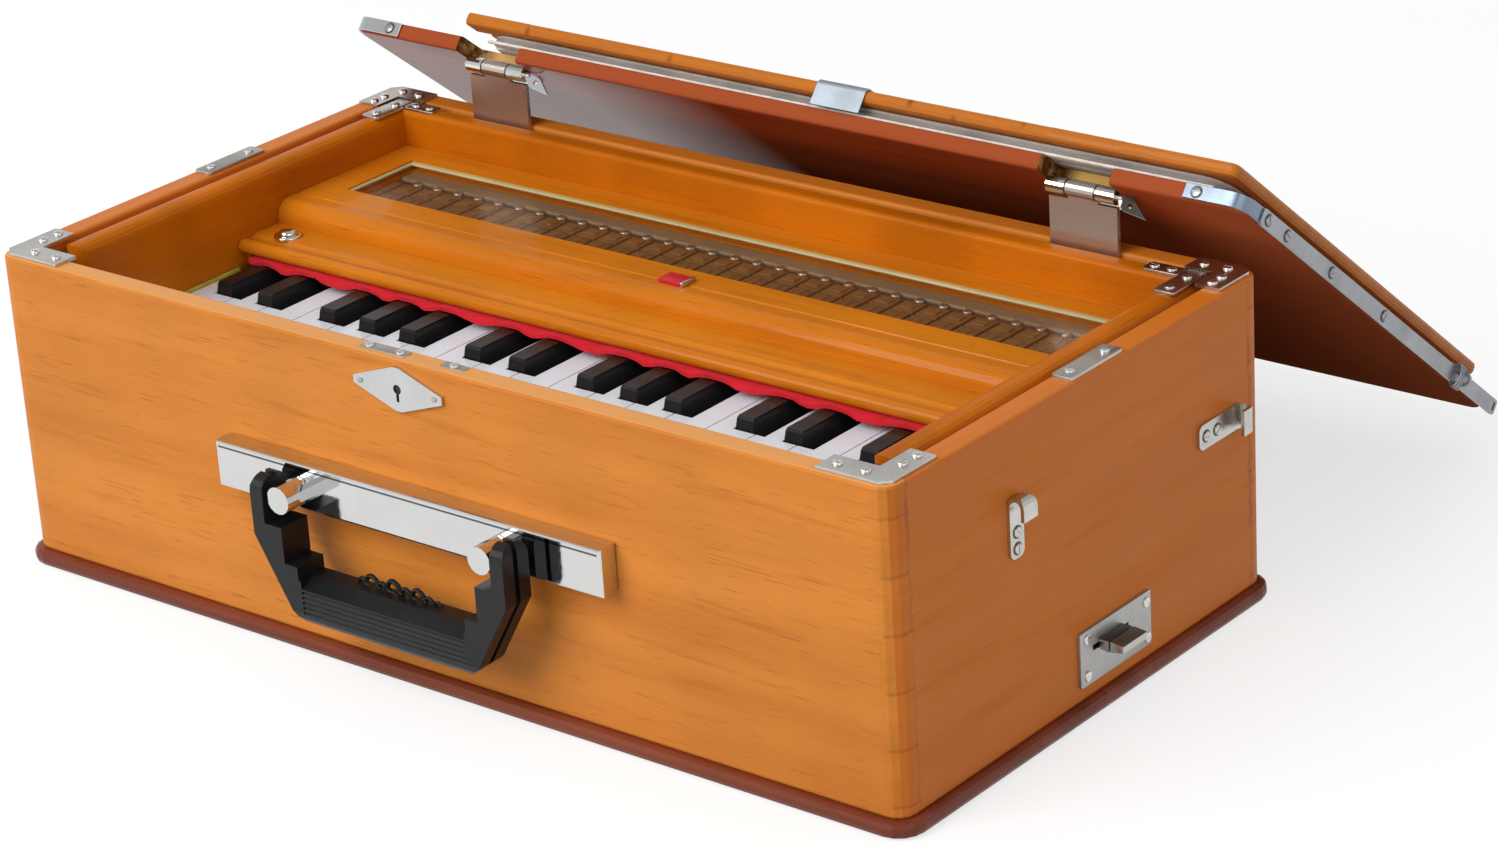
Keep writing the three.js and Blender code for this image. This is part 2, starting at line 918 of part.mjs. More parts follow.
// Hook catches on the right wall: a strip whose end turns out and back into an open hook
const side_face = half_length;
const hook_out = 2 * (hook_bend + hook_plate_thick);
function hookSection(length) {
  const turn = length - hook_bend - hook_plate_thick;
  const centre = hook_bend + hook_plate_thick;
  return outline([
    [0, 0],
    ...arc(turn, centre, centre, -1, 1, round_steps / 2),
    [turn - hook_lip, hook_out],
    [turn - hook_lip, hook_out - hook_plate_thick],
    ...arc(turn, centre, hook_bend, 1, -1, round_steps / 2),
    [0, hook_plate_thick],
  ]);
}
function hookCatch(name, startY, startZ, length, width, upright) {
  const strip = common(
    extruded(hookSection(length), width).translate(0, 0, -width / 2),
    extruded(
      roundedRect(0, -width / 2, length, width / 2, hook_corner),
      hook_out + overrun,
    ).rotateX(Math.PI / 2).translate(0, hook_out + overrun, 0),
  );
  const run = upright ? [0, 0, 1] : [0, 1, 0];
  const out = new THREE.Vector3(1, 0, 0);
  const along = new THREE.Vector3(...run);
  const turn = new THREE.Matrix4().makeBasis(along, out, along.clone().cross(out));
  turn.setPosition(side_face, startY, startZ);
  place(name, toGeometry(strip).applyMatrix4(turn), steel);
}
hookCatch(
  'hook_catch_front',
  hook_front_y,
  hook_front_z - hook_length / 2,
  hook_length,
  hook_width,
  true,
);
hookCatch(
  'hook_catch_rear',
  hook_rear_y - hook_rear_length / 2,
  hook_rear_z,
  hook_rear_length,
  hook_rear_width,
  false,
);

// Side bolt: slotted plate and sliding knob
const bolt_plate_shape = roundedRect(
  bolt_plate_y - bolt_plate_length / 2,
  bolt_plate_z - bolt_plate_height / 2,
  bolt_plate_y + bolt_plate_length / 2,
  bolt_plate_z + bolt_plate_height / 2,
  wall_edge,
);
bolt_plate_shape.holes.push(rect(
  bolt_plate_y - bolt_slot_length / 2,
  bolt_plate_z - bolt_slot_height / 2,
  bolt_plate_y + bolt_slot_length / 2,
  bolt_plate_z + bolt_slot_height / 2,
));
const bolt_face = side_face + hook_plate_thick;
place('bolt_plate', alongX(bolt_plate_shape, side_face, bolt_face), steel);
const knob_section = outline([
  [side_face + hook_plate_thick + seat, bolt_plate_z - bolt_knob_height / 2],
  [bolt_face + bolt_knob_out, bolt_plate_z - bolt_knob_height / 2 + wall_edge],
  [bolt_face + bolt_knob_out, bolt_plate_z + bolt_knob_height / 2 - wall_edge],
  [side_face + hook_plate_thick + seat, bolt_plate_z + bolt_knob_height / 2],
]);
const knob_grip = alongY(
  knob_section,
  bolt_knob_y - bolt_knob_length / 2,
  bolt_knob_y + bolt_knob_length / 2,
);
const knob_neck = block(
  side_face - bolt_well_depth + seat,
  bolt_knob_y - bolt_neck_length / 2,
  bolt_plate_z - bolt_neck_height / 2,
  bolt_face + bolt_knob_out / 2,
  bolt_knob_y + bolt_neck_length / 2,
  bolt_plate_z + bolt_neck_height / 2,
);
place('bolt_knob', joined(knob_grip, knob_neck), steel);

// Hinge plates standing in the gap behind the inner body, with the middle knuckle
const hinge_plate_back = inner_half_width - seat;
const hinge_plate_front = hinge_plate_back - hinge_plate_thick;
const hinge_neck = axis_z - knuckle_radius - leaf_thick;
function hingePlate(name, x) {
  const half = hinge_plate_width / 2;
  const plate = block(
    x - half,
    hinge_plate_front,
    rim_height - hinge_plate_depth,
    x + half,
    hinge_plate_back,
    hinge_neck,
  );
  const tongue = block(
    x - knuckle_centre / 2,
    hinge_plate_front,
    hinge_neck - overrun,
    x + knuckle_centre / 2,
    hinge_plate_back,
    axis_z,
  );
  const knuckle = alongX(
    disc(hinge_axis_y, axis_z, knuckle_radius),
    x - knuckle_centre / 2,
    x + knuckle_centre / 2,
  );
  const bore = alongX(disc(hinge_axis_y, axis_z, knuckle_bore, round_steps / 2), x - half, x + half);
  place(name, cut(joined(plate, tongue, knuckle), bore), steel);
}
hingePlate('hinge_plate_left', -hinge_x);
hingePlate('hinge_plate_right', hinge_x);

// Lid frame: x along the axis, y from the axis to the far edge, z out of the inner face
const lid = new THREE.Group();
lid.position.set(0, hinge_axis_y, axis_z);
lid.rotation.x = -THREE.MathUtils.degToRad(lid_open_angle);
group.add(lid);
const lid_half = half_length + lid_overhang;
const lid_inner = lid_below_axis + lid_thick;

// Hinge leaves: two knuckles, pin, leaf on the outer face and a spear-shaped thumb tab
const hinge_pin_radius = knuckle_bore - seat;
function hingeLeaf(name, x) {
  const half = hinge_plate_width / 2;
  const inner = knuckle_centre / 2 + seat;
  const knuckles = [-1, 1].map((side) => alongX(
    disc(0, 0, knuckle_radius),
    x + Math.min(side * inner, side * half),
    x + Math.max(side * inner, side * half),
  ));
  const pin = alongX(
    disc(0, 0, hinge_pin_radius, round_steps / 2),
    x - half,
    x + half + spear_neck,
  );
  const leaf_top = lid_below_axis - seat;
  const wings = [-1, 1].map((side) => block(
    x + Math.min(side * inner, side * half),
    0,
    leaf_top - leaf_thick,
    x + Math.max(side * inner, side * half),
    knuckle_radius + 2 * leaf_thick,
    leaf_top,
  ));
  const leaf = raised(outline([
    [x - half, knuckle_radius + leaf_thick],
    [x + half, knuckle_radius + leaf_thick],
    [x + half, leaf_length * 0.7],
    [x + half / 2, leaf_length],
    [x - half / 2, leaf_length],
    [x - half, leaf_length * 0.7],
  ]), leaf_top - leaf_thick, leaf_top);
  const spear_shape = outline([
    [0, -spear_neck / 2],
    [spear_length * 0.3, -spear_half],
    [spear_length, 0],
    [spear_length * 0.3, spear_half],
    [0, spear_neck / 2],
  ]);
  spear_shape.holes.push(disc(spear_length * 0.4, 0, spear_hole, round_steps / 2));
  const spear = extruded(spear_shape, leaf_thick)
    .translate(0, 0, -leaf_thick / 2)
    .rotateX(Math.PI / 2)
    .rotateY(THREE.MathUtils.degToRad(spear_droop_angle))
    .translate(x + half + spear_neck / 2, 0, 0);
  place(name, joined(...knuckles, pin, ...wings, leaf, spear), steel, lid);
}
hingeLeaf('hinge_leaf_left', -hinge_x);
hingeLeaf('hinge_leaf_right', hinge_x);

// Lid board with a notch at each hinge
function hingeNotches(depth, z0, z1) {
  return [-hinge_x, hinge_x].map((x) => block(
    x - notch_width / 2,
    -lid_near - board_near,
    z0 - overrun,
    x + notch_width / 2,
    depth,
    z1 + overrun,
  ));
}
const lid_plan = roundedRect(-lid_half, -lid_near, lid_half, lid_far, lid_corner);
place('lid_board', cut(
  raised(lid_plan, lid_below_axis, lid_inner, lid_edge),
  ...hingeNotches(notch_depth - lid_near, lid_below_axis, lid_inner),
), red_wood, lid);

// Bellows: folds and moving board, notched where the hinge plates pass when the lid is shut
const folds_z0 = lid_inner + seat;
const folds_z1 = folds_z0 + folds_thick;
const board_z0 = folds_z1 + seat;
const board_z1 = board_z0 + board_thick;
const board_far = lid_far * board_hinge_share;
const folds_plan = roundedRect(
  board_left + folds_inset,
  -board_near + folds_inset,
  board_right - folds_inset,
  board_far - folds_inset,
  folds_corner,
);
const fold_grooves = [];
const fold_height = folds_thick / fold_count;
for (let i = 1; i < fold_count; i += 1) {
  const z = folds_z0 + i * fold_height;
  const outer = roundedRect(
    board_left - overrun,
    -board_near - overrun,
    board_right + overrun,
    board_far + overrun,
    folds_corner,
  );
  outer.holes.push(roundedRect(
    board_left + folds_inset + fold_groove,
    -board_near + folds_inset + fold_groove,
    board_right - folds_inset - fold_groove,
    board_far - folds_inset - fold_groove,
    folds_corner - fold_groove,
  ));
  fold_grooves.push(raised(outer, z - fold_height / 6, z + fold_height / 6));
}
const board_notches = hingeNotches(board_notch_past, folds_z0, board_z1);
place('bellows_folds', cut(
  raised(folds_plan, folds_z0, folds_z1),
  ...fold_grooves,
  ...board_notches,
), bellows_paper, lid);

const board_plan = roundedRect(board_left, -board_near, board_right, board_far, board_corner);
place('bellows_board', cut(
  raised(board_plan, board_z0, board_z1, board_edge),
  ...board_notches,
), amber_wood, lid);

// Spring clip over the moving board's near edge
const clip_outer = -board_near - clip_thick - seat;
const clip_inner = clip_outer + clip_thick;
const clip_low = board_z1 + seat;
const clip_high = clip_low + clip_thick;
const clip_section = outline([
  [clip_outer, folds_z0 + seat],
  [clip_inner, folds_z0 + seat],
  ...arc(
    clip_outer + clip_bend,
    clip_high - clip_bend,
    clip_bend - clip_thick,
    2,
    1,
    arc_steps,
  ),
  [-board_near + clip_top, clip_low],
  [-board_near + clip_top, clip_high],
  ...arc(clip_outer + clip_bend, clip_high - clip_bend, clip_bend, 1, 2, arc_steps),
]);
place('bellows_clip', alongX(
  clip_section,
  clip_centre - clip_width / 2,
  clip_centre + clip_width / 2,
), steel, lid);

// Strap along the lid's right edge, with a raised loop and a slotted end past the far corner
const strap_z = (lid_below_axis + lid_inner) / 2;
const strap_x = lid_half + seat;
const strap_end = lid_far + strap_overrun;
const strap_shape = roundedRect(
  -lid_near + strap_start,
  strap_z - strap_width / 2,
  strap_end,
  strap_z + strap_width / 2,
  strap_thick,
);
const strap_opening = block(
  strap_x - overrun,
  strap_end - 2 * strap_slot,
  strap_z - strap_slot_length / 2,
  strap_x + strap_thick + overrun,
  strap_end - strap_slot,
  strap_z + strap_slot_length / 2,
);
const loop_y = -lid_near + lid_length * strap_loop_share;
const loop_shape = disc(0, 0, strap_loop_radius);
loop_shape.holes.push(disc(0, 0, strap_loop_radius - strap_thick));
const loop = extruded(loop_shape, strap_thick)
  .translate(0, 0, -strap_thick / 2)
  .rotateX(Math.PI / 2)
  .translate(strap_x + strap_loop_radius, loop_y, strap_z);
place('lid_strap', joined(
  cut(alongX(strap_shape, strap_x, strap_x + strap_thick), strap_opening),
  loop,
), steel, lid);

export default group;
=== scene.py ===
"""An Indian harmonium in a suitcase case, its lid and bellows swung open to the rear."""
import math

import bmesh
import bpy
from mathutils import Matrix, Vector


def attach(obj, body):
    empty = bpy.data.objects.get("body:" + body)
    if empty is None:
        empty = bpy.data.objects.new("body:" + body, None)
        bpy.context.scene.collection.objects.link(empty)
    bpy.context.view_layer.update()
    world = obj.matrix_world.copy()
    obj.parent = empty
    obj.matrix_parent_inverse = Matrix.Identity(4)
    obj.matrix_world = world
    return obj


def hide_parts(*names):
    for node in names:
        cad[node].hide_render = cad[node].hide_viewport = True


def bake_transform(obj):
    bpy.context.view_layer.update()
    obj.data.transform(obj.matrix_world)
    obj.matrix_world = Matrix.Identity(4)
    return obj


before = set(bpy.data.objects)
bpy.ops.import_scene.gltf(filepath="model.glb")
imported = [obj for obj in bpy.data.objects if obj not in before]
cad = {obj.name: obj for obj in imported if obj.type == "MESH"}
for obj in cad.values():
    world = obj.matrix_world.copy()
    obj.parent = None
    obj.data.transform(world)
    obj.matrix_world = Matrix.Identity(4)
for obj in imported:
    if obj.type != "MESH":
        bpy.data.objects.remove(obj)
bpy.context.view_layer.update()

MM = 0.001
UP = Vector((0, 0, 1))
RIGHT = Vector((1, 0, 0))
FRONT = Vector((0, -1, 0))
SIDES = ((1, "right"), (-1, "left"))

# Places taken from the solids, in millimetres
RIM_Z = 145.0
CORNER_PLATE_TOP = 146.5
SIDE_FITTING_X = 241.6
HINGE_X = 162
HINGE_SIDES = (-HINGE_X, HINGE_X)
NOTCH_HALF = 18
HINGE_AXIS = Vector((0, 114.3, 170))
LID_ANGLE = math.radians(39)
LID_ALONG = Vector((0, math.cos(LID_ANGLE), -math.sin(LID_ANGLE)))
LID_FRAME = Matrix.Translation(HINGE_AXIS * MM) @ Matrix.Rotation(-LID_ANGLE, 4, "X")


# ---------------------------------------------------------------- bench work

def deselect():
    for piece in bpy.context.selected_objects:
        piece.select_set(False)


def take(piece):
    deselect()
    piece.select_set(True)
    bpy.context.view_layer.objects.active = piece


def settle():
    bpy.ops.object.transform_apply(location=True, rotation=True, scale=True)


def name_piece(name):
    piece = bpy.context.object
    piece.name = name
    piece.data.name = name
    return piece


def discard(*pieces):
    for piece in pieces:
        bpy.data.objects.remove(piece)


def open_mesh(piece):
    take(piece)
    bpy.ops.object.mode_set(mode="EDIT")
    bpy.ops.mesh.select_all(action="DESELECT")


def close_mesh():
    bpy.ops.object.mode_set(mode="OBJECT")


def pick(kind, test):
    """Selects the faces, edges or vertices that pass a test of place or normal."""
    bpy.ops.mesh.select_all(action="DESELECT")
    bpy.ops.mesh.select_mode(type=kind)
    mesh = bmesh.from_edit_mesh(bpy.context.object.data)
    parts = {"FACE": mesh.faces, "EDGE": mesh.edges, "VERT": mesh.verts}[kind]
    for part in parts:
        if test(part):
            part.select_set(True)
    mesh.select_flush_mode()
    bmesh.update_edit_mesh(bpy.context.object.data)


def push(test, x=0.0, y=0.0, z=0.0):
    """Moves the vertices that pass a test, in millimetres."""
    pick("VERT", test)
    bpy.ops.transform.translate(value=(x * MM, y * MM, z * MM))


def runs_along(edge, axis):
    way = (edge.verts[1].co - edge.verts[0].co).normalized()
    return abs(way.dot(axis)) > 0.99


def middle(edge):
    """The middle of an edge, in millimetres."""
    return (edge.verts[0].co + edge.verts[1].co) / 2 / MM


def block(name, low, high):
    """A cube added at its size and place, in millimetres."""
    deselect()
    low, high = Vector(low) * MM, Vector(high) * MM
    bpy.ops.mesh.primitive_cube_add(size=1, location=(low + high) / 2)
    bpy.context.object.scale = high - low
    settle()
    return name_piece(name)


def rod(name, centre, radius, length, sides=20, axis=UP):
    """A cylinder added at its size and place, in millimetres."""
    deselect()
    bpy.ops.mesh.primitive_cylinder_add(
        vertices=sides, radius=radius * MM, depth=length * MM, location=Vector(centre) * MM,
        rotation=UP.rotation_difference(axis).to_euler())
    settle()
    return name_piece(name)


def ring(name, centre, radius, thin, sides):
    """A ring that stands across the depth of the case, in millimetres."""
    deselect()
    bpy.ops.mesh.primitive_torus_add(
        major_radius=radius * MM, minor_radius=thin * MM, major_segments=sides,
        minor_segments=8, location=Vector(centre) * MM, rotation=(math.pi / 2, 0, 0))
    settle()
    return name_piece(name)


def round_edges(piece, test, width, steps=2):
    open_mesh(piece)
    pick("EDGE", test)
    bpy.ops.mesh.bevel(offset=width * MM, segments=steps, affect="EDGES")
    close_mesh()
    return piece


def flat_plate(name, low, high, axis, corner, edge=0.3, steps=3):
    """A plate with rounded corners and an eased rim; its thin way is the axis."""
    piece = block(name, low, high)
    top = max(v.co.dot(axis) for v in piece.data.vertices) / MM
    round_edges(piece, lambda e: runs_along(e, axis), corner, steps)
    round_edges(piece, lambda e: abs(middle(e).dot(axis) - top) < 1e-3, edge, 2)
    return piece


def cut_away(piece, tool):
    take(piece)
    cutter = piece.modifiers.new("cut", "BOOLEAN")
    cutter.operation = "DIFFERENCE"
    cutter.object = tool
    bpy.ops.object.modifier_apply(modifier=cutter.name)
    discard(tool)
    return piece


def copy_to(source, place, normal, turn=0.0):
    """A copy with its own mesh, set on its place and pointing along the normal."""
    take(source)
    bpy.ops.object.duplicate(linked=False)
    piece = bpy.context.object
    stand = UP.rotation_difference(normal).to_matrix().to_4x4()
    piece.matrix_world = (
        Matrix.Translation(Vector(place) * MM) @ stand @ Matrix.Rotation(turn, 4, "Z"))
    settle()
    return piece


def join_pieces(name, pieces):
    deselect()
    for piece in pieces:
        piece.select_set(True)
    bpy.context.view_layer.objects.active = pieces[0]
    if len(pieces) > 1:
        bpy.ops.object.join()
    return name_piece(name)


def set_out(name, source, places):
    """Copies of one fastener, each turned a little further, joined into one piece."""
    turn_step = 0.7
    return join_pieces(name, [
        copy_to(source, place, normal, turn_step * number)
        for number, (place, normal) in enumerate(places)])


def lay_on_lid(piece):
    """Moves a piece made in the lid's own frame to the open lid."""
    take(piece)
    piece.matrix_world = LID_FRAME
    settle()
    return piece


def lid_point(x, along, out):
    return LID_FRAME @ (Vector((x, along, out)) * MM) / MM


def finish_piece(piece, finish, body, smooth=35):
    take(piece)
    piece.data.materials.clear()
    piece.data.materials.append(finish)
    bpy.ops.object.shade_smooth_by_angle(angle=math.radians(smooth))
    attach(piece, body)
    return piece


def two_tone(piece, first, second, body, test):
    """A first finish all over, and a second one on the faces that pass a test."""
    finish_piece(piece, first, body, 30)
    piece.data.materials.append(second)
    piece.active_material_index = 1
    open_mesh(piece)
    pick("FACE", test)
    bpy.ops.object.material_slot_assign()
    close_mesh()


# ------------------------------------------------------------------ finishes

class NodeTree:
    """Short words to add nodes to a material or a world and to join them."""

    def __init__(self, tree):
        self.tree = tree
        self.tree.nodes.clear()

    def add(self, kind, **settings):
        node = self.tree.nodes.new(kind)
        for key, value in settings.items():
            setattr(node, key, value)
        return node

    def join(self, source, target):
        self.tree.links.new(source, target)

    def feed(self, target, value):
        if isinstance(value, bpy.types.NodeSocket):
            self.join(value, target)
        else:
            target.default_value = value

    def math(self, operation, first, second=0.0):
        node = self.add("ShaderNodeMath", operation=operation)
        self.feed(node.inputs[0], first)
        self.feed(node.inputs[1], second)
        return node.outputs[0]

    def plus(self, first, second):
        return self.math("ADD", first, second)

    def minus(self, first, second):
        return self.math("SUBTRACT", first, second)

    def times(self, first, second):
        return self.math("MULTIPLY", first, second)

    def size(self, value):
        return self.math("ABSOLUTE", value)

    def over(self, value, limit):
        return self.math("GREATER_THAN", value, limit)

    def under(self, value, limit):
        return self.math("LESS_THAN", value, limit)

    def larger(self, first, second):
        return self.math("MAXIMUM", first, second)

    def span(self, value, from_low, from_high, to_low=0.0, to_high=1.0):
        node = self.add("ShaderNodeMapRange")
        self.join(value, node.inputs["Value"])
        for key, number in (("From Min", from_low), ("From Max", from_high),
                            ("To Min", to_low), ("To Max", to_high)):
            node.inputs[key].default_value = number
        return node.outputs[0]

    def split(self, place):
        node = self.add("ShaderNodeSeparateXYZ")
        self.join(place, node.inputs[0])
        return node.outputs

    def looked_at(self):
        """1 for the camera's rays and for those in mirrors and glass, 0 for the light."""
        rays = self.add("ShaderNodeLightPath").outputs
        return self.larger(rays["Is Camera Ray"],
                           self.larger(rays["Is Glossy Ray"], rays["Is Transmission Ray"]))

    def combine(self, kind, *sources):
        """A node of one kind with its first inputs fed in order."""
        node = self.add(kind)
        for source, socket in zip(sources, node.inputs):
            self.join(source, socket)
        return node.outputs[0]


class Finish(NodeTree):
    """A material under way: one principled shader and the tone that is built up for it."""

    def __init__(self, name, colour, roughness, metallic=0.0, coat=0.0, coat_roughness=0.05):
        self.material = bpy.data.materials.new(name)
        self.material.use_nodes = True
        super().__init__(self.material.node_tree)
        self.out = self.add("ShaderNodeOutputMaterial")
        self.shader = self.add("ShaderNodeBsdfPrincipled")
        self.join(self.shader.outputs[0], self.out.inputs["Surface"])
        self.set("Base Color", (*colour, 1))
        self.set("Roughness", roughness)
        self.set("Metallic", metallic)
        self.set("Coat Weight", coat)
        self.set("Coat Roughness", coat_roughness)
        self.place = self.add("ShaderNodeTexCoord").outputs["Object"]
        self.tone = colour

    def set(self, socket, value):
        self.feed(self.shader.inputs[socket], value)

    def mapped(self, scale, shift=(0, 0, 0), turn=(0, 0, 0), place=None):
        """The object's own coordinates, stretched by one number or by one for each axis."""
        node = self.add("ShaderNodeMapping")
        self.join(place or self.place, node.inputs["Vector"])
        node.inputs["Scale"].default_value = scale if isinstance(scale, tuple) else (scale,) * 3
        node.inputs["Location"].default_value = shift
        node.inputs["Rotation"].default_value = turn
        return node.outputs[0]

    def noise(self, scale, detail, roughness=0.5, distortion=0.0, **mapping):
        node = self.add("ShaderNodeTexNoise")
        self.join(self.mapped(scale, **mapping), node.inputs["Vector"])
        for key, value in (("Scale", 1.0), ("Detail", detail),
                           ("Roughness", roughness), ("Distortion", distortion)):
            node.inputs[key].default_value = value
        return node.outputs[0]

    def blend(self, share, first, second, kind="MIX"):
        node = self.add("ShaderNodeMix", data_type="RGBA", blend_type=kind, clamp_factor=True)
        self.feed(node.inputs[0], share)
        self.feed(node.inputs[6], (*first, 1) if isinstance(first, tuple) else first)
        self.feed(node.inputs[7], (*second, 1) if isinstance(second, tuple) else second)
        return node.outputs[2]

    def tint(self, share, colour):
        """Lays a colour over the tone so far."""
        self.tone = self.blend(share, self.tone, colour)

    def along(self, way):
        node = self.add("ShaderNodeVectorMath", operation="DOT_PRODUCT")
        self.join(self.place, node.inputs[0])
        node.inputs[1].default_value = way
        return node.outputs["Value"]

    def bump(self, height, strength, distance):
        node = self.add("ShaderNodeBump")
        node.inputs["Strength"].default_value = strength
        node.inputs["Distance"].default_value = distance
        self.join(height, node.inputs["Height"])
        self.set("Normal", node.outputs[0])

    def done(self):
        self.set("Base Color", self.tone)
        return self.material


def wood(name, light, dark, streak, roughness=0.32, coat=0.22, turn=0.0, walls=False,
         rough_coat=0.06, flame=0.5, shine=0.3):
    """Straight-grained varnished wood; the grain runs along x, or along y on side walls."""
    f = Finish(name, light, roughness, coat=coat, coat_roughness=rough_coat)
    f.set("Specular IOR Level", shine)
    place = f.mapped(1, turn=(turn, 0, 0))
    if walls:
        x, y = f.split(f.place)[:2]
        corner_offset = 0.113
        f.side = f.over(f.minus(f.size(x), f.size(y)), corner_offset)
        turned = f.mapped(1, shift=(0.31, 0.0, 0.0), turn=(0, 0, math.pi / 2))
        mixed = f.add("ShaderNodeMix", data_type="VECTOR")
        f.join(f.side, mixed.inputs[0])
        f.join(place, mixed.inputs[4])
        f.join(turned, mixed.inputs[5])
        place = mixed.outputs[1]
    f.grain_place = place
    rings = f.noise((3.2, 44.8, 44.8), 2.0, 0.45, 0.35, place=place)
    lines = f.noise((9, 126, 126), 4.0, 0.6, 0.15, place=place)
    fibres = f.noise((22, 850, 850), 3.0, 0.55, place=place)
    cross = f.noise((16, 9, 9), 2.0, shift=(3, 1, 2), place=place)
    pores = f.noise((60, 1500, 1500), 1.0, place=place)
    f.tint(f.span(rings, 0.32, 0.68), dark)
    f.tint(f.span(lines, 0.56, 0.74, 0.0, 0.42), streak)
    f.tint(f.span(fibres, 0.35, 0.75, 0.0, 0.22), dark)
    flames = f.span(cross, 0.38, 0.62, 1.0 - 0.10 * flame, 1.0 + 0.08 * flame)
    shade = f.combine("ShaderNodeCombineColor", flames, flames, flames)
    f.tone = f.blend(1.0, f.tone, shade, "MULTIPLY")
    f.tint(f.span(pores, 0.64, 0.74, 0.0, 0.45), streak)
    f.set("Roughness", f.span(lines, 0.3, 0.7, roughness - 0.05, roughness + 0.12))
    f.bump(f.plus(f.times(fibres, 0.5), f.times(cross, 0.5)), 0.12, 0.0004)
    return f


def plating(name, colour, roughness, dull=0.12, patina=0.25, metallic=1.0):
    """Plated metal with a cloudy lustre, fine scratches and small dull spots."""
    f = Finish(name, colour, roughness, metallic=metallic)
    cloud = f.noise(45, 4.0, 0.6)
    scratch = f.noise((900, 60, 500), 3.0, 0.6, turn=(0.3, 0.2, 0.5))
    spots = f.noise(420, 2.0)
    tarnish = tuple(c * 0.55 for c in colour)
    f.tint(f.span(cloud, 0.35, 0.7, 0.0, patina), tarnish)
    f.tint(f.span(spots, 0.66, 0.76, 0.0, patina), tarnish)
    f.set("Roughness", f.plus(f.span(cloud, 0.3, 0.7, roughness, roughness + dull),
                              f.span(scratch, 0.55, 0.75, 0.0, dull)))
    f.bump(f.plus(scratch, f.times(cloud, 2.0)), 0.05, 0.0003)
    return f


def metal(*look, **settings):
    """Plated metal with nothing more to paint on it."""
    return plating(*look, **settings).done()


def plastic(name, colour, worn, roughness, grain=0.1, coat=0.0, mark=0.25, shine=0.5):
    """Moulded plastic with faint flow marks, wear and a fine surface grain."""
    f = Finish(name, colour, roughness, coat=coat)
    f.set("Specular IOR Level", shine)
    flow = f.noise((30, 60, 60), 3.0, 0.5, 0.4)
    speck = f.noise(1500, 2.0)
    f.tint(f.span(flow, 0.35, 0.7, 0.0, mark), worn)
    f.tint(f.span(speck, 0.66, 0.8, 0.0, 0.3), worn)
    f.set("Roughness", f.span(flow, 0.3, 0.7, roughness - 0.04, roughness + 0.1))
    f.bump(f.plus(speck, f.times(flow, 1.5)), grain, 0.0002)
    return f.done()


def felt(name, colour, deep):
    """Felt or cloth with a soft pile, deeper in its hollows."""
    f = Finish(name, colour, 0.95)
    f.set("Sheen Weight", 0.05)
    f.set("Sheen Roughness", 0.5)
    fuzz = f.noise(1800, 4.0, 0.7)
    pile = f.noise(160, 3.0, 0.6)
    f.tint(f.span(pile, 0.35, 0.7), deep)
    f.bump(f.plus(fuzz, pile), 0.6, 0.0006)
    return f.done()


def joint_marks(f):
    """Finger joints at the corners, a worn seam on the side walls and the rims' own tones."""
    x, y, z = f.split(f.place)
    finger_pitch, seam_y, rim_from_z, front_to_y = 0.024, 0.1165, 0.1448, -0.1158
    corner = f.times(f.over(f.size(x), 0.2340), f.over(f.size(y), 0.1160))
    wave = f.math("FRACT", f.times(z, 1 / finger_pitch))
    finger = f.over(wave, 0.5)
    line = f.under(f.size(f.minus(wave, 0.5)), 0.03)
    f.tint(f.times(f.side, 0.6), (0.72, 0.170, 0.016))
    f.tint(f.times(corner, f.times(finger, 0.07)), AMBER_STREAK)
    f.tint(f.times(corner, f.times(line, 0.22)), (0.12, 0.03, 0.006))
    ragged = f.span(f.noise((60, 60, 240), 3.0, 0.6), 0.3, 0.7, -0.0011, 0.0011)
    off_seam = f.size(f.minus(f.plus(f.size(y), ragged), seam_y))
    worn = f.span(f.noise((90, 90, 55), 3.0, 0.6, shift=(5, 2, 1)), 0.42, 0.60, 0.10, 0.45)
    on_end_face = f.over(f.size(x), 0.2395)
    f.tint(f.times(on_end_face, f.times(worn, f.span(off_seam, 0.0016, 0.0004))),
           (0.24, 0.05, 0.010))
    rim, front = f.over(z, rim_from_z), f.under(y, front_to_y)
    f.tint(f.times(rim, f.times(front, 0.6)), (0.84, 0.40, 0.12))
    f.tint(f.times(rim, f.minus(0.5, f.times(front, 0.5))), (0.56, 0.15, 0.004))
    return f.done()


def lid_edges(f):
    """A lighter near edge, a right end painted lighter as if lit there, raw wood in the hinge
    notches with painted shade at their ends, glossier at the left.
    """
    x = f.split(f.place)[0]
    # Painted light: the lid is lightened towards its right end
    f.tint(f.span(x, 0.12, 0.22, 0.0, 0.8), (0.52, 0.125, 0.045))
    along = f.minus(f.along(LID_ALONG), (HINGE_AXIS * MM).dot(LID_ALONG))
    near = f.span(along, -0.0100, -0.0106)
    f.set("Coat Weight", f.times(f.minus(1.0, near), f.span(x, -0.03, -0.13, 0.0, 0.8)))
    f.tint(f.times(near, 0.9), (0.36, 0.078, 0.028))
    off_hinge = f.size(f.minus(f.size(x), HINGE_X * MM))
    notch = f.times(f.under(off_hinge, (NOTCH_HALF + 0.02) * MM), f.under(along, 0.00535))
    # Painted shade darkens the ends of each notch, broken up by noise
    notch_end_shade = f.times(f.span(off_hinge, 0.007, 0.015), f.span(f.noise(130, 3.0, 0.6), 0.28, 0.52))
    f.tint(notch, f.blend(notch_end_shade, (0.62, 0.36, 0.11), (0.10, 0.035, 0.010)))
    return f.done()


def board_knots(f):
    """Small brown knots and nail marks scattered over the bellows board."""
    cells = f.add("ShaderNodeTexVoronoi")
    f.join(f.mapped((16, 9, 9), place=f.grain_place), cells.inputs["Vector"])
    f.tint(f.span(cells.outputs["Distance"], 0.05, 0.16, 0.75, 0.0), (0.20, 0.045, 0.01))
    return f.done()


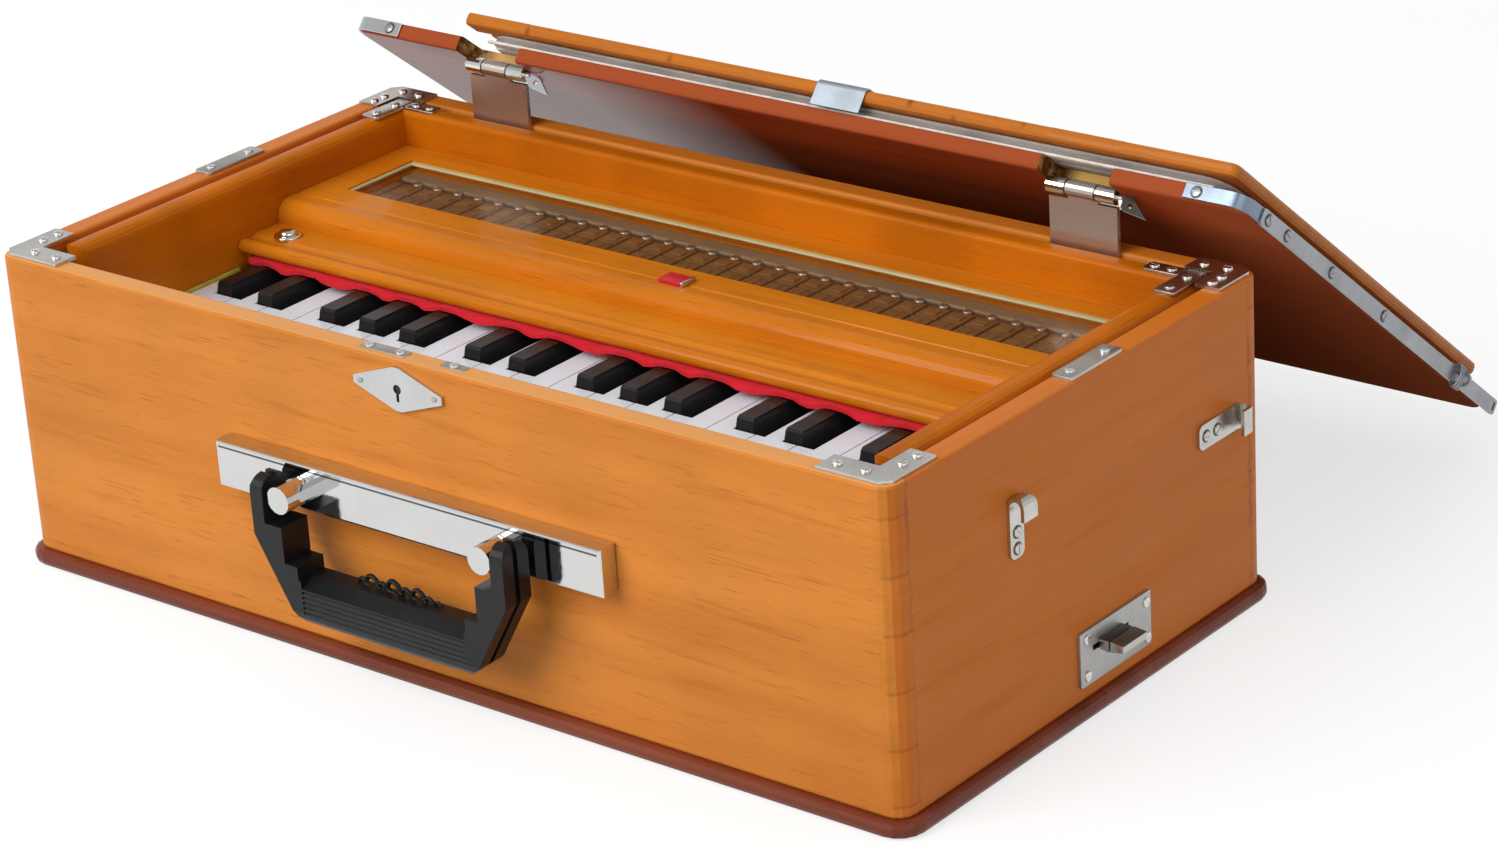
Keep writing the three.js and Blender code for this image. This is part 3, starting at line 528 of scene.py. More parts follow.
def chrome_with_painted_crease_shade():
    """The chromed bar: a dark line of painted shade, as in a crease, runs under the bright top edge
    of its front face.
    """
    f = plating("chrome_with_painted_crease_shade", (0.66, 0.665, 0.665), 0.045, dull=0.03, patina=0.12)
    x, y, z = f.split(f.place)
    crease_z, half_width, face_y, half_length = 0.08935, 0.00045, -0.1365, 0.1035
    # Painted shade: a dark line at one height across the front face
    crease_shade_mask = f.under(f.size(f.minus(z, crease_z)), half_width)
    crease_shade_mask = f.times(f.times(crease_shade_mask, f.under(y, face_y)), f.under(f.size(x), half_length))
    f.tint(f.times(crease_shade_mask, 0.9), (0.06, 0.06, 0.065))
    return f.done()


def leaf_chrome(painted_tab_colour, painted_in_shade=False):
    """Hinge leaf and pin: bright on the knuckle; the spear-shaped thumb tab gets a painted colour
    that stands for its light, pale where lit, and a dull dark one as painted shade.
    """
    f = plating("hinge_leaf_chrome", (0.74, 0.735, 0.72), 0.07, dull=0.04, patina=0.2)
    x = f.split(f.place)[0]
    past_hinge = f.times(f.minus(f.size(x), HINGE_X * MM), f.math("SIGN", x))
    tab = f.span(past_hinge, 0.0200, 0.0204)
    f.tint(tab, painted_tab_colour)
    # Painted shade: the tab is dark and hardly metallic, and the whole leaf loses most of its
    # specular sheen
    if painted_in_shade:
        f.set("Metallic", f.span(tab, 0.0, 1.0, 1.0, 0.0))
        f.set("Specular IOR Level", 0.05)
    return f.done()


def fold_paper():
    """Grey bellows card, soiled in clouds, with a fine dark weave."""
    f = Finish("grey_bellows_card", (0.58, 0.54, 0.50), 0.75)
    soil = f.noise((22, 40, 40), 4.0, 0.6, 0.3)
    weave = f.noise(1300, 2.0)
    f.tint(f.span(soil, 0.35, 0.68), (0.36, 0.32, 0.29))
    f.tint(f.span(weave, 0.5, 0.8, 0.0, 0.3), (0.16, 0.13, 0.11))
    f.bump(f.plus(weave, soil), 0.35, 0.0004)
    return f.done()


def window_glass():
    """Thin old glass: it lets the reeds show through and reflects more at a low angle."""
    f = Finish("window_glass", (0.9, 0.88, 0.8), 0.03)
    clear = f.add("ShaderNodeBsdfTransparent")
    clear.inputs[0].default_value = (0.93, 0.92, 0.88, 1)
    gloss = f.add("ShaderNodeBsdfGlossy")
    gloss.inputs["Roughness"].default_value = 0.22
    edge = f.add("ShaderNodeLayerWeight")
    edge.inputs["Blend"].default_value = 0.5
    steep = f.math("POWER", edge.outputs["Facing"], 5.0)
    smear = f.span(f.noise((14, 30, 30), 3.0), 0.4, 0.8, 0.04, 0.09)
    f.join(f.combine("ShaderNodeMixShader", f.plus(f.times(steep, 0.4), smear),
                     clear.outputs[0], gloss.outputs[0]), f.out.inputs["Surface"])
    return f.material


AMBER, AMBER_DARK, AMBER_STREAK = (0.72, 0.255, 0.040), (0.60, 0.190, 0.025), (0.34, 0.085, 0.010)
HONEY, HONEY_DARK, HONEY_STREAK = (0.60, 0.168, 0.004), (0.48, 0.116, 0.002), (0.30, 0.062, 0.001)

walls_finish = joint_marks(wood(
    "amber_varnished_walls", AMBER, AMBER_DARK, AMBER_STREAK, walls=True, coat=0.06, shine=0.15,
    roughness=0.38))
inner_finish = wood(
    "honey_inner_body", HONEY, HONEY_DARK, HONEY_STREAK, walls=True, flame=1.2, coat=0.06,
    shine=0.06).done()
board_finish = wood(
    "honey_boards", (0.66, 0.21, 0.010), (0.55, 0.155, 0.005), HONEY_STREAK, roughness=0.3,
    coat=0.2, shine=0.06).done()
flap_finish = board_knots(wood(
    "amber_bellows_board", (0.60, 0.20, 0.022), (0.48, 0.14, 0.012), AMBER_STREAK,
    turn=LID_ANGLE, coat=0.12, shine=0.1))
red_finish = wood(
    "red_brown_base", (0.25, 0.056, 0.022), (0.15, 0.028, 0.011), (0.06, 0.012, 0.006),
    roughness=0.34, coat=0.12, shine=0.2).done()
lid_finish = lid_edges(wood(
    "red_brown_lid", (0.33, 0.074, 0.022), (0.25, 0.050, 0.015), (0.14, 0.024, 0.008),
    roughness=0.5, coat=0.0, turn=LID_ANGLE, rough_coat=0.25, shine=0.0))

chrome_finish = metal("polished_chrome", (0.74, 0.745, 0.745), 0.05, dull=0.03, patina=0.15)
lock_finish = metal("bright_lock_plate", (0.60, 0.605, 0.61), 0.14, dull=0.06, patina=0.25)
nickel_finish = metal("nickel_plated_steel", (0.60, 0.585, 0.55), 0.2, patina=0.4)
dull_finish = metal("dull_steel", (0.50, 0.48, 0.44), 0.32, patina=0.5)
bracket_finish = metal("brown_steel_bracket", (0.60, 0.55, 0.48), 0.2, patina=0.5)
hinge_finish = metal(
    "brushed_hinge_plate", (0.52, 0.48, 0.43), 0.26, dull=0.08, patina=0.2, metallic=0.95)
bolt_finish = metal("grey_bolt_plate", (0.44, 0.44, 0.43), 0.34, patina=0.3)
# Dark steel on the bolt knob's foot; the same dark serves as painted shade on the screw rings and
# in the hinge knuckle gaps
dark_steel_and_shade_finish = metal("dark_steel_and_painted_shade", (0.10, 0.095, 0.085), 0.3, patina=0.4)
olive_finish = metal("olive_grey_steel", (0.19, 0.185, 0.150), 0.35, patina=0.3)
blue_finish = metal("blued_corner_strap", (0.22, 0.27, 0.34), 0.26, patina=0.3)
screw_finish = metal("bright_screws", (0.74, 0.73, 0.71), 0.18, patina=0.25)
clip_finish = metal("blue_sheet_steel", (0.40, 0.45, 0.50), 0.4, patina=0.4)
strap_finish = metal("grey_strap", (0.34, 0.35, 0.37), 0.3, patina=0.4)
brass_finish = metal("brown_reed_plate", (0.32, 0.150, 0.045), 0.5, patina=0.7, metallic=0.2)
tongue_finish = metal("brass_reed_tongue", (0.38, 0.190, 0.062), 0.4, patina=0.6, metallic=0.3)
bar_finish = metal("grey_reed_bar", (0.27, 0.205, 0.140), 0.35, patina=0.4, metallic=0.2)

# Black for the disc and slot behind the keyhole: painted shade inside the lock
keyhole_shade_finish = plastic("black_keyhole_shade", (0.008, 0.008, 0.008), (0.02, 0.02, 0.02), 0.5)
white_key_finish = plastic("white_key_plastic", (0.80, 0.82, 0.88), (0.68, 0.68, 0.71), 0.22,
                           grain=0.03, coat=0.3, mark=0.3)
black_key_finish = plastic("black_key_plastic", (0.005, 0.005, 0.005), (0.016, 0.014, 0.014),
                           0.28, grain=0.06, coat=0.1, mark=0.4, shine=0.25)
handle_finish = plastic("handle_black_plastic", (0.005, 0.0055, 0.006), (0.018, 0.019, 0.020),
                        0.34, grain=0.16, mark=0.3, shine=0.28)
red_plastic_finish = plastic("red_plastic", (0.55, 0.008, 0.02), (0.35, 0.004, 0.01), 0.3)
bed_finish = plastic("dark_reed_bed", (0.050, 0.028, 0.014), (0.09, 0.05, 0.025), 0.7, mark=0.5)
bead_finish = plastic("pale_glass_bead", (0.50, 0.42, 0.20), (0.32, 0.25, 0.10), 0.4, mark=0.6)

felt_finish = felt("red_felt", (0.74, 0.003, 0.018), (0.60, 0.002, 0.012))
green_finish = felt("yellow_green_cloth", (0.60, 0.52, 0.06), (0.45, 0.36, 0.04))
binding_finish = felt("white_binding_cloth", (0.80, 0.78, 0.74), (0.62, 0.58, 0.52))
fold_finish = fold_paper()

cad_finishes = {
    "base_board": red_finish,
    "case_walls": walls_finish,
    "inner_body": inner_finish,
    "key_cover_board": board_finish,
    "window_board": board_finish,
    "glass_pane": window_glass(),
    "handle_bar": chrome_with_painted_crease_shade(),
    "handle_grip": handle_finish,
    "lock_escutcheon": lock_finish,
    # Thumb tabs: painted pale as lit on the left hinge, painted dark as shade on the right one
    "hinge_leaf_left": leaf_chrome((0.72, 0.74, 0.77)),
    "hinge_leaf_right": leaf_chrome((0.06, 0.048, 0.040), painted_in_shade=True),
    "bolt_plate": bolt_finish,
    "hinge_plate_left": hinge_finish,
    "hinge_plate_right": hinge_finish,
    "corner_plate_rear_left": bracket_finish,
    "corner_plate_rear_right": bracket_finish,
    "lid_board": lid_finish,
    "lid_strap": strap_finish,
    "bellows_board": flap_finish,
    "bellows_clip": clip_finish,
}
for name, node in cad.items():
    finish = cad_finishes.get(name, nickel_finish)
    if name.startswith("key_white"):
        finish = white_key_finish
    elif name.startswith("key_black"):
        finish = black_key_finish
    node.data.materials.clear()
    node.data.materials.append(finish)

# ------------------------------------------------------------------- screws

slot_screw = rod("slot_screw", (0, 0, 0.3), 2.2, 1.0, 16)
round_edges(slot_screw, lambda e: middle(e).z > 0.7, 0.45)
cut_away(slot_screw, block("slot", (-3, -0.25, 0.45), (3, 0.25, 2)))

dome_screw = rod("dome_screw", (0, 0, 0.45), 2.3, 1.3, 16)
round_edges(dome_screw, lambda e: middle(e).z > 1.0, 0.9, 3)
cut_away(dome_screw, block("slot", (-3, -0.22, 0.8), (3, 0.22, 2)))

pin_nail = rod("pin_nail", (0, 0, 0.2), 1.25, 0.9, 10)
round_edges(pin_nail, lambda e: middle(e).z > 0.6, 0.4)

# A dark ring under each screw head: painted shade where its hole is sunk
screw_shade_ring = rod("screw_shade_ring", (0, 0, 0.07), 2.85, 0.14, 18)
round_edges(screw_shade_ring, lambda e: middle(e).z > 0.1, 0.06, 1)


def screws_on_shade_rings(name, places, finish, body):
    """Screw heads, each on a dark ring of painted shade that stands for its sunk hole."""
    finish_piece(set_out(name, slot_screw, places), finish, body)
    finish_piece(set_out(name + "_shade_rings", screw_shade_ring, places), dark_steel_and_shade_finish, body)


# ------------------------------------------------------------- case fittings

corner_screws = (((211, -119), (224, -119), (232, -107), (232, -98)),
                 ((218, 119), (229, 119.5), (232, 110), (232, 103)))
rim_screws = set_out("rim_screws", dome_screw, [
    ((side * x, y, CORNER_PLATE_TOP), UP)
    for corner in corner_screws for side, _ in SIDES for x, y in corner])
finish_piece(rim_screws, screw_finish, "case")


def rim_fitting(name, boxes, screws, height, finish=dull_finish, side=1):
    """A flat strap on the rim with its screws, mirrored for the left side."""
    top = RIM_Z + height
    arms = []
    for x0, y0, x1, y1 in boxes:
        x0, x1 = sorted((side * x0, side * x1))
        arms.append(flat_plate(name, (x0, y0, RIM_Z), (x1, y1, top), UP, 1.4))
    finish_piece(join_pieces(name, arms), finish, "case")
    heads = [((side * x, y, top), UP) for x, y in screws]
    finish_piece(set_out(name + "_screws", slot_screw, heads), screw_finish, "case")


for side, word in SIDES:
    rim_fitting("side_plate_" + word, [(229.6, -8, 239.2, 28)], [(234.5, -2), (234.5, 22)], 1.3,
                side=side)
for side, word in SIDES:
    rim_fitting("inner_bracket_" + word, [(197, 104, 214.2, 112), (214.4, 86, 224.4, 112)],
                [(201, 108), (209.5, 108), (219.4, 104), (219.4, 91)], 1.2, bracket_finish, side)
rim_fitting("lock_strike_left", [(-29, -123.6, -4, -118)], [(-25, -120.8), (-8, -120.8)], 0.5)
rim_fitting("lock_strike_right", [(14, -122.6, 27, -117.8)], [(20.5, -120.2)], 0.5)

LOCK_Z = 133
lock_pins = set_out("lock_pins", pin_nail, [((x, -128.6, LOCK_Z), FRONT) for x in (-24.5, 15.7)])
finish_piece(lock_pins, dull_finish, "case")

# A black disc and slot behind the keyhole: painted shade in the lock's hollow
keyhole_shade_disc = rod("keyhole_shade", (-4.4, -127.35, LOCK_Z), 1.95, 0.6, 20, FRONT)
keyhole_shade_slot_piece = block("keyhole_shade_slot", (-5.05, -127.65, 127.8), (-3.75, -127.05, 132))
keyhole_shade_disc = join_pieces("keyhole_shade", [keyhole_shade_disc, keyhole_shade_slot_piece])
round_edges(keyhole_shade_disc, lambda e: middle(e).y < -127.6 and not runs_along(e, FRONT), 0.1, 1)
finish_piece(keyhole_shade_disc, keyhole_shade_finish, "case")

screws_on_shade_rings("hook_screws", [((SIDE_FITTING_X, y, z), RIGHT) for y, z in (
    (-50, 91.5), (-50, 98.5), (82, 89), (90, 89))], nickel_finish, "case")
plate_screws = set_out("bolt_plate_screws", slot_screw, [
    ((SIDE_FITTING_X, y, z), RIGHT)
    for y, z in ((-6, 34.2), (36, 33.4), (-6, 18), (36.5, 17.6))])
finish_piece(plate_screws, screw_finish, "case")

# Side bolt: a plate with a narrow slot, and a flat knob split into a dark foot and a grey grip
bolt_sheet = flat_plate("bolt_plate_sheet", (240.05, -10.5, 13.8), (SIDE_FITTING_X, 39.5, 37.8),
                        RIGHT, 1.0)
cut_away(bolt_sheet, block("slot", (235, -2, 27.6), (245, 23.2, 30.0)))
finish_piece(bolt_sheet, bolt_finish, "case")
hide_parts("bolt_plate")

foot = block("bolt_knob_foot", (241.65, 2, 27.0), (246.3, 19, 31.2))
open_mesh(foot)
push(lambda v: v.co.x > 0.246 and v.co.z < 0.028, z=-0.8)
close_mesh()
round_edges(foot, lambda e: True, 0.25)
grip = block("bolt_knob_grip", (246.7, 2.3, 26.2), (253.4, 19.3, 31.1))
open_mesh(grip)
push(lambda v: v.co.x > 0.25 and v.co.z < 0.028, z=1.2)
push(lambda v: v.co.x > 0.25 and v.co.z > 0.030, z=-0.7)
close_mesh()
round_edges(grip, lambda e: True, 0.3)
neck = block("bolt_knob_neck", (236.2, 10.5, 27.8), (247, 16.5, 29.8))
round_edges(neck, lambda e: runs_along(e, RIGHT), 0.3, 1)
foot = join_pieces("bolt_knob_foot", [foot, neck])
two_tone(foot, dark_steel_and_shade_finish, bolt_finish, "side_bolt", lambda face: face.normal.y < -0.7)
two_tone(grip, nickel_finish, olive_finish, "side_bolt", lambda face: face.normal.z > 0.7)
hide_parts("bolt_knob")

# ------------------------------------------------------ keyboard well pieces

cover_screw = rod("cover_washer", (-196, 4, 118.7), 6.4, 1.4, 28)
round_edges(cover_screw, lambda e: middle(e).z > 119.2, 0.7, 3)
cover_dome = rod("cover_screw", (-196, 4, 120.2), 4.2, 2.4, 24)
round_edges(cover_dome, lambda e: middle(e).z > 121.2, 1.7, 4)
finish_piece(join_pieces("cover_screw", [cover_screw, cover_dome]), chrome_finish, "case")

tab = flat_plate("red_tab", (3, 25.5, 128.0), (15.5, 34.5, 130.0), UP, 0.8, 0.5)
finish_piece(tab, red_plastic_finish, "case")
tab_end = flat_plate("red_tab_end", (15.6, 25.3, 128.0), (16.8, 34.7, 130.2), RIGHT, 0.3, 0.3)
finish_piece(tab_end, nickel_finish, "case")

# Felt strip over the keys: its front edge sags between them, at a centre over a half width
felt_strip = block("red_felt_strip", (-206, -12.2, 109.5), (211.5, -6.6, 111.3))
open_mesh(felt_strip)
pick("EDGE", lambda e: runs_along(e, RIGHT))
bpy.ops.mesh.subdivide(number_cuts=139)
sags = ((-203.5, 3), (-183.7, 7), (-152.5, 12), (-121.8, 6), (-98, 6), (-67.4, 12), (-36, 7),
        (-4.8, 12), (26, 6), (49.6, 6), (80.3, 12), (111.7, 7), (143, 12), (173.7, 6), (201, 9))
for centre, half in sags:
    for share, drop in ((1.0, 0.5), (0.75, 0.6), (0.5, 0.5)):
        push(lambda v: v.co.y < -0.0110 and abs(v.co.x - centre * MM) < half * share * MM,
             y=-0.3, z=-drop)
close_mesh()
finish_piece(felt_strip, felt_finish, "case", 60)

end_strip = flat_plate("left_end_strip", (-212.7, -78, 84.2), (-211.7, -12, 105.6), RIGHT, 0.8)
finish_piece(end_strip, green_finish, "case")

# Reeds under the glass: for each note a plate in two halves, a tongue, its foot and a round head
BED_Z, BANK_Z, REED_Y = 122.25, 122.8, 64.5
KEY_ROW_WIDTH, LEVERS, REEDS = 422, 34, 30
reed_bed = block("reed_bed", (-191.6, 47.4, BED_Z), (191.6, 84.8, BED_Z + 0.5))
round_edges(reed_bed, lambda e: runs_along(e, UP), 1)
finish_piece(reed_bed, bed_finish, "case")
reed_plate = flat_plate("reed_plate", (-5.4, -15.6, 0), (5.4, -4.8, 0.8), UP, 0.4, 0.15, 2)
cut_away(reed_plate, block("slot", (-1.9, -13.6, -2), (1.9, -7.5, 3)))
reed_back = flat_plate("reed_back", (-5.4, -3.6, 0), (5.4, 6.8, 0.8), UP, 0.4, 0.15, 2)
reed_tongue = flat_plate("reed_tongue", (-1.7, -13.4, 0.5), (1.7, -5.4, 1.1), UP, 0.3, 0.1, 2)
reed_foot = flat_plate("reed_foot", (-3.2, -1.2, 0.8), (3.2, 3.8, 1.4), UP, 0.4, 0.2, 2)
reed_head = rod("reed_head", (0, 0, 1.0), 2.4, 2.0, 14)
round_edges(reed_head, lambda e: middle(e).z > 1.8, 0.9, 3)
cell_pitch = KEY_ROW_WIDTH / LEVERS
cell_middles = [(number - (REEDS - 1) / 2) * cell_pitch for number in range(REEDS)]


def over_cells(sources, y, z, shift=0.0):
    """A copy of each source over every reed cell."""
    return [copy_to(source, (x + shift, y, z), UP) for x in cell_middles for source in sources]


reed_plates = join_pieces("reed_plates", over_cells((reed_plate, reed_back), REED_Y, BANK_Z) + [
    flat_plate("end_plate", (x - 2.2, y - 5.3, BANK_Z), (x + 2.2, y + 5.3, BANK_Z + 0.8),
               UP, 0.4, 0.15, 2)
    for x in (-189.1, 189.1) for y in (54.3, 66.1)])
finish_piece(reed_plates, brass_finish, "case")
reed_tongues = join_pieces("reed_tongues", over_cells((reed_tongue, reed_foot), REED_Y, BANK_Z))
finish_piece(reed_tongues, tongue_finish, "case")
reed_heads = join_pieces("reed_heads", over_cells((reed_head,), 73.8, BED_Z))
finish_piece(reed_heads, dull_finish, "case")
reed_nails = join_pieces(
    "reed_nails", over_cells((pin_nail,), 50.4, BED_Z + 0.5, shift=cell_pitch / 2))
finish_piece(reed_nails, screw_finish, "case")
discard(reed_plate, reed_back, reed_tongue, reed_foot, reed_head)

reed_bar = block("reed_clamp_bar", (-191.5, 75.2, BED_Z + 0.5), (191.5, 84.6, BED_Z + 2.1))
round_edges(reed_bar, lambda e: runs_along(e, RIGHT) and middle(e).z > 123.5, 1.3, 5)
finish_piece(reed_bar, bar_finish, "case")
putty_bead = block("glass_bead", (-195.8, 85.6, 126.42), (195.8, 87.9, 127.5))
round_edges(putty_bead, lambda e: middle(e).z > 127.0 and middle(e).y < 87.0, 0.8, 3)
end_bead = block("end_bead", (-195.8, 44.3, 126.42), (-194.2, 85.5, 127.3))
round_edges(end_bead, lambda e: middle(e).z > 127.0 and middle(e).x > -194.5, 0.6, 3)
finish_piece(join_pieces("glass_bead", [putty_bead, end_bead]), bead_finish, "case")

# Painted shade: dark rings sit where the knuckles of each hinge meet, in place of the shade in
# their gaps
knuckle_gap_shade = join_pieces("knuckle_gap_shade", [
    rod("knuckle_shade_ring", (x + step, HINGE_AXIS.y, HINGE_AXIS.z), 3.68, 0.45, 28, RIGHT)
    for x in HINGE_SIDES for step in (-7.25, 7.25)])
round_edges(knuckle_gap_shade, lambda e: not runs_along(e, RIGHT), 0.08, 1)
finish_piece(knuckle_gap_shade, dark_steel_and_shade_finish, "case")

# ------------------------------------------------------------- lid fittings

screws_on_shade_rings("strap_screws", [
    (lid_point(245.8, v, 5.35), RIGHT) for v in (8, 26, 70, 124)], strap_finish, "lid")

coils = []
for v in (201.5, 204.0, 206.5):
    centre = (246.3, v, 5.4)
    coil = ring("coil", centre, 5.0, 0.75, 28)
    open_mesh(coil)
    bpy.ops.mesh.select_all(action="SELECT")
    bpy.ops.transform.resize(value=(0.45, 1, 1), center_override=Vector(centre) * MM)
    close_mesh()
    coils.append(coil)
finish_piece(lay_on_lid(join_pieces("strap_coil", coils)), strap_finish, "lid")

binding = block("fold_binding", (-166, -9.0, 9.15), (226, -7.3, 10.5))
round_edges(binding, lambda e: middle(e).y < -8.9 and runs_along(e, RIGHT), 0.5)
finish_piece(lay_on_lid(binding), binding_finish, "lid")


def bent_strip(name, path, low, high, thick, side):
    """A strip that follows a path: one upright edge drawn out point by point, then thickened."""
    deselect()
    bpy.ops.mesh.primitive_plane_add(size=1)
    piece = name_piece(name)
    open_mesh(piece)
    pick("VERT", lambda v: v.co.x > 0)
    bpy.ops.mesh.delete(type="VERT")
    (x, y), rest = path[0], path[1:]
    for sign, height in ((-1, low), (1, high)):
        pick("VERT", lambda v: v.co.y * sign > 0.4)
        bpy.ops.transform.translate(
            value=(x * MM + 0.5, y * MM - 0.5 * sign, height * MM))
    bpy.ops.mesh.select_all(action="SELECT")
    bpy.ops.mesh.select_mode(type="EDGE")
    for next_x, next_y in rest:
        bpy.ops.mesh.extrude_region_move(TRANSFORM_OT_translate={
            "value": ((next_x - x) * MM, (next_y - y) * MM, 0)})
        x, y = next_x, next_y
    close_mesh()
    thickness = piece.modifiers.new("thickness", "SOLIDIFY")
    thickness.thickness = thick * MM
    thickness.offset = side
    bpy.ops.object.modifier_apply(modifier=thickness.name)
    eased = piece.modifiers.new("eased", "BEVEL")
    eased.width = 0.2 * MM
    eased.limit_method = "ANGLE"
    bpy.ops.object.modifier_apply(modifier=eased.name)
    return piece


# The right corner strap runs on past the bend, the left one ends at it
corner_path = ((216, -12.0), (237.4, -12.0), (240.4, -11.3), (242.8, -9.0), (244.2, -5.6),
               (244.2, 3.2))
for side, word in SIDES:
    path = [(side * x, v) for x, v in (corner_path if side == 1 else corner_path[:-1])]
    strap = bent_strip("lid_corner_strap_" + word, path, 2.2, 8.7, 0.8, -side)
    finish_piece(lay_on_lid(strap), blue_finish if side == 1 else lock_finish, "lid")
    screws_on_shade_rings("lid_corner_screws_" + word,
                  [(lid_point(side * 222, -12.7, 5.4), -LID_ALONG)], strap_finish, "lid")

# Bellows folds: three pleats of card between the lid and the bellows board
FOLDS_LOW, FOLDS_HIGH, FOLDS_HALF_X, FOLDS_HALF_Y = 9.45, 14.55, 200.5, 120.45
folds = block("pleated_folds", (-170, -7.2, FOLDS_LOW), (231, 233.7, FOLDS_HIGH))
round_edges(folds, lambda e: runs_along(e, UP), 12, 5)
open_mesh(folds)
pick("EDGE", lambda e: runs_along(e, UP))
bpy.ops.mesh.subdivide(number_cuts=5)
fold_step = (FOLDS_HIGH - FOLDS_LOW) / 6
for level, depth in ((0, 1.0), (2, 2.6), (4, 2.6), (6, 1.0)):
    height = (FOLDS_LOW + level * fold_step) * MM
    pick("VERT", lambda v: abs(v.co.z - height) < 0.1 * MM)
    bpy.ops.transform.resize(
        value=(1 - depth / FOLDS_HALF_X, 1 - depth / FOLDS_HALF_Y, 1),
        center_override=(30.5 * MM, 113.25 * MM, height))
for level in (1, 3, 5):
    height = (FOLDS_LOW + level * fold_step) * MM
    pick("EDGE", lambda e: all(abs(v.co.z - height) < 0.1 * MM for v in e.verts))
    bpy.ops.mesh.bevel(offset=0.4 * MM, segments=2, affect="EDGES")
close_mesh()
for x in HINGE_SIDES:
    cut_away(folds, block("hinge_slot", (x - NOTCH_HALF, -2.2, 5), (x + NOTCH_HALF, 1.6, 20)))
lay_on_lid(folds)
take(folds)
folds.data.materials.append(fold_finish)
bpy.ops.object.shade_smooth_by_angle(angle=math.radians(50))
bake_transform(folds)
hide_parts("bellows_folds")

# Bridges run past the hinge plates on the bellows board's near edge and leave each plate a slot
bridges = join_pieces("bellows_board_bridges", [
    round_edges(block("bridge", (x - NOTCH_HALF, -12.2, 14.9), (x + NOTCH_HALF, -2.2, 20.9)),
                lambda e: runs_along(e, RIGHT) and middle(e).y < -12, 2.0, 4)
    for x in HINGE_SIDES])
finish_piece(lay_on_lid(bridges), flap_finish, "bellows_flap")

# ----------------------------------------------------------- carrying handle

# Scroll on the grip: rings of many sizes, each drawn wider below and pulled down at its right
SCROLL_Y = -141.2
scroll = []
for x, z, radius, thin in ((-22, 48.9, 1.8, 0.8), (-17, 50.2, 2.5, 1.0), (-11, 49.0, 1.9, 0.9),
                           (-5, 50.6, 2.6, 1.1), (2, 49.4, 2.0, 0.9), (8.5, 50.2, 2.4, 1.0),
                           (14.5, 48.8, 1.8, 0.8), (19.5, 48.4, 1.4, 0.7)):
    curl = ring("curl", (x, SCROLL_Y, z), radius, thin, 18)
    open_mesh(curl)
    pick("VERT", lambda v: v.co.z < (z - radius * 0.2) * MM)
    bpy.ops.transform.resize(value=(1.5, 1.1, 0.9), center_override=(x * MM, SCROLL_Y * MM, z * MM))
    push(lambda v: v.co.x > (x + radius * 0.3) * MM, x=0.9, z=-0.6)
    close_mesh()
    scroll.append(curl)
finish_piece(join_pieces("handle_scroll", scroll), handle_finish, "handle")

discard(slot_screw, dome_screw, pin_nail, screw_shade_ring)

# ------------------------------------------------------------ floor and light

WHITE = (1, 1, 1, 1)
deselect()
bpy.ops.mesh.primitive_plane_add(size=16, location=(0, 0, -0.0002))
floor = name_piece("floor")
ground = Finish("pale_floor", (0.36, 0.36, 0.36), 1.0)
ground.set("Specular IOR Level", 0.0)
lift = ground.add("ShaderNodeEmission")
lift.inputs["Color"].default_value = WHITE
lift_strength = 0.68
ground.join(ground.times(ground.looked_at(), lift_strength), lift.inputs["Strength"])
ground.join(ground.combine("ShaderNodeAddShader", ground.shader.outputs[0], lift.outputs[0]),
            ground.out.inputs["Surface"])
floor.data.materials.append(ground.material)

world = bpy.data.worlds.new("studio")
bpy.context.scene.world = world
world.use_nodes = True
sky = NodeTree(world.node_tree)


def backdrop(strength):
    node = sky.add("ShaderNodeBackground")
    node.inputs["Color"].default_value = WHITE
    sky.feed(node.inputs["Strength"], strength)
    return node.outputs[0]


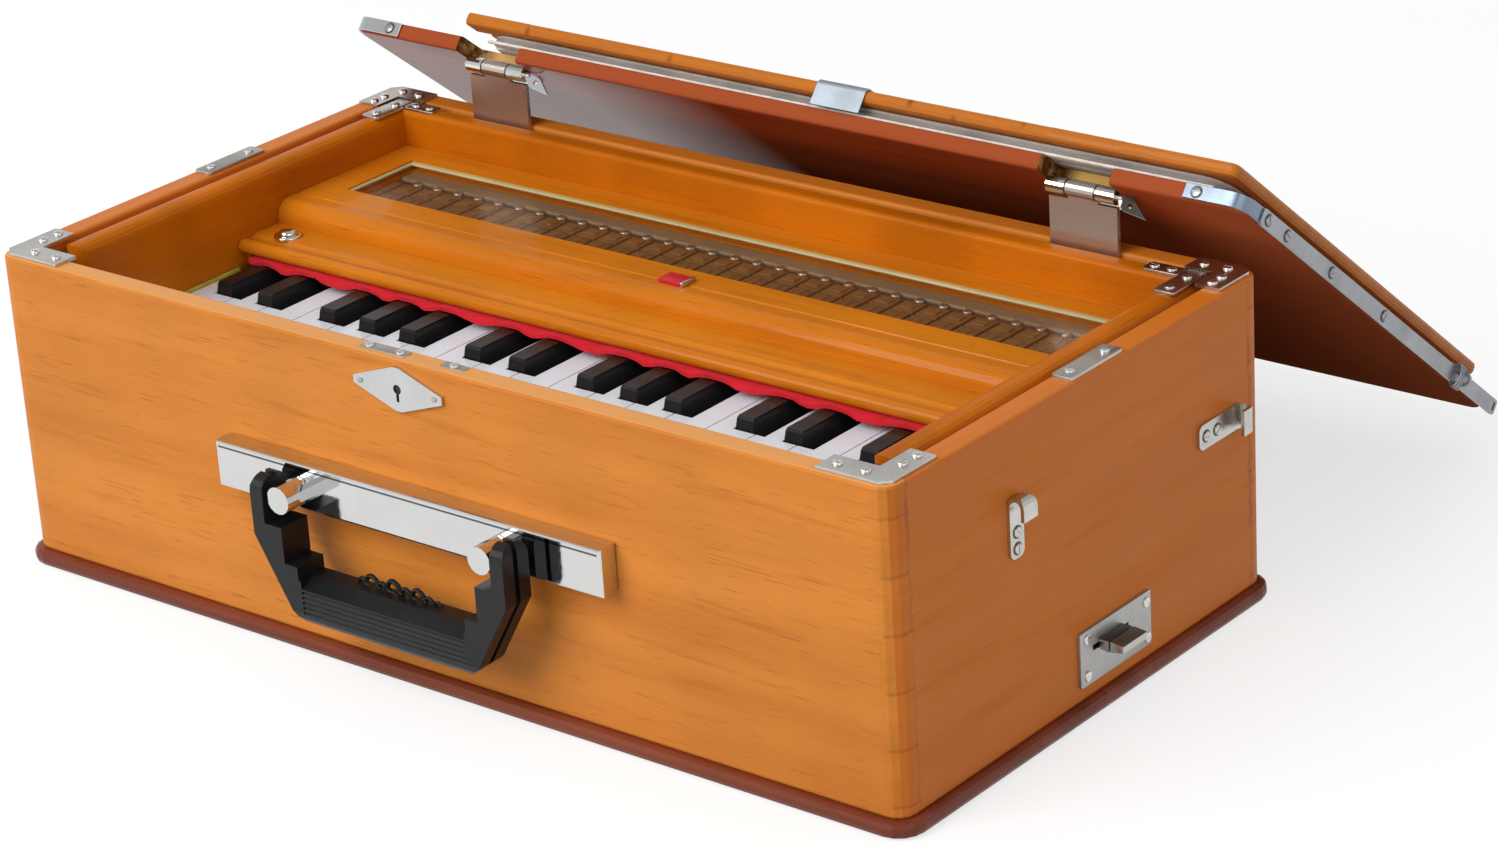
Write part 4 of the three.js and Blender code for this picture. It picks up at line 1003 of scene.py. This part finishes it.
# Plain white for the camera, darker towards the zenith in mirrors, dim as a light
height = sky.split(sky.add("ShaderNodeTexCoord").outputs["Generated"])["Z"]
mirrored = sky.larger(sky.span(height, 0.0, 0.9, 1.0, 0.4),
                      sky.add("ShaderNodeLightPath").outputs["Is Camera Ray"])
sky_out = sky.add("ShaderNodeOutputWorld")
sky.join(sky.combine("ShaderNodeMixShader", sky.looked_at(), backdrop(0.54), backdrop(mirrored)),
         sky_out.inputs["Surface"])


def lamp(name, place, aim, size, power):
    light = bpy.data.lights.new(name, "AREA")
    light.shape = "DISK"
    light.size = size
    light.energy = power
    holder = bpy.data.objects.new(name, light)
    bpy.context.scene.collection.objects.link(holder)
    holder.location = place
    way = Vector(aim) - Vector(place)
    holder.rotation_euler = way.to_track_quat("-Z", "Y").to_euler()


lamp("key_lamp", (-0.9, -2.6, 2.2), (0, 0, 0.08), 2.8, 92)
lamp("side_fill", (2.5, -1.2, 1.4), (0, 0, 0.08), 2.0, 9)

# -------------------------------------------------------------------- camera

# A fit to the photograph: place in metres, turns in degrees, focal length in its pixels
CAMERA_PLACE = Vector((1.1160, -1.2509, 0.7834))
CAMERA_TURNS = (39.91, 23.22, -3.61)
FOCAL_PIXELS, PHOTO_WIDTH, SENSOR_WIDTH = 4275, 1498, 36

camera = bpy.data.cameras.new("camera")
holder = bpy.data.objects.new("camera", camera)
bpy.context.scene.collection.objects.link(holder)
turn, down, roll = (math.radians(angle) for angle in CAMERA_TURNS)
look = Vector((-math.sin(turn) * math.cos(down), math.cos(turn) * math.cos(down),
               -math.sin(down)))
across = look.cross(UP).normalized()
above = across.cross(look)
level = math.cos(roll) * across + math.sin(roll) * above
top = -math.sin(roll) * across + math.cos(roll) * above
holder.matrix_world = Matrix((
    (level.x, top.x, -look.x, CAMERA_PLACE.x),
    (level.y, top.y, -look.y, CAMERA_PLACE.y),
    (level.z, top.z, -look.z, CAMERA_PLACE.z),
    (0, 0, 0, 1)))
camera.sensor_width = SENSOR_WIDTH
camera.lens = FOCAL_PIXELS * SENSOR_WIDTH / PHOTO_WIDTH
camera.clip_start = 0.05
camera.clip_end = 60
bpy.context.scene.camera = holder

bpy.context.scene.view_settings.view_transform = "Standard"
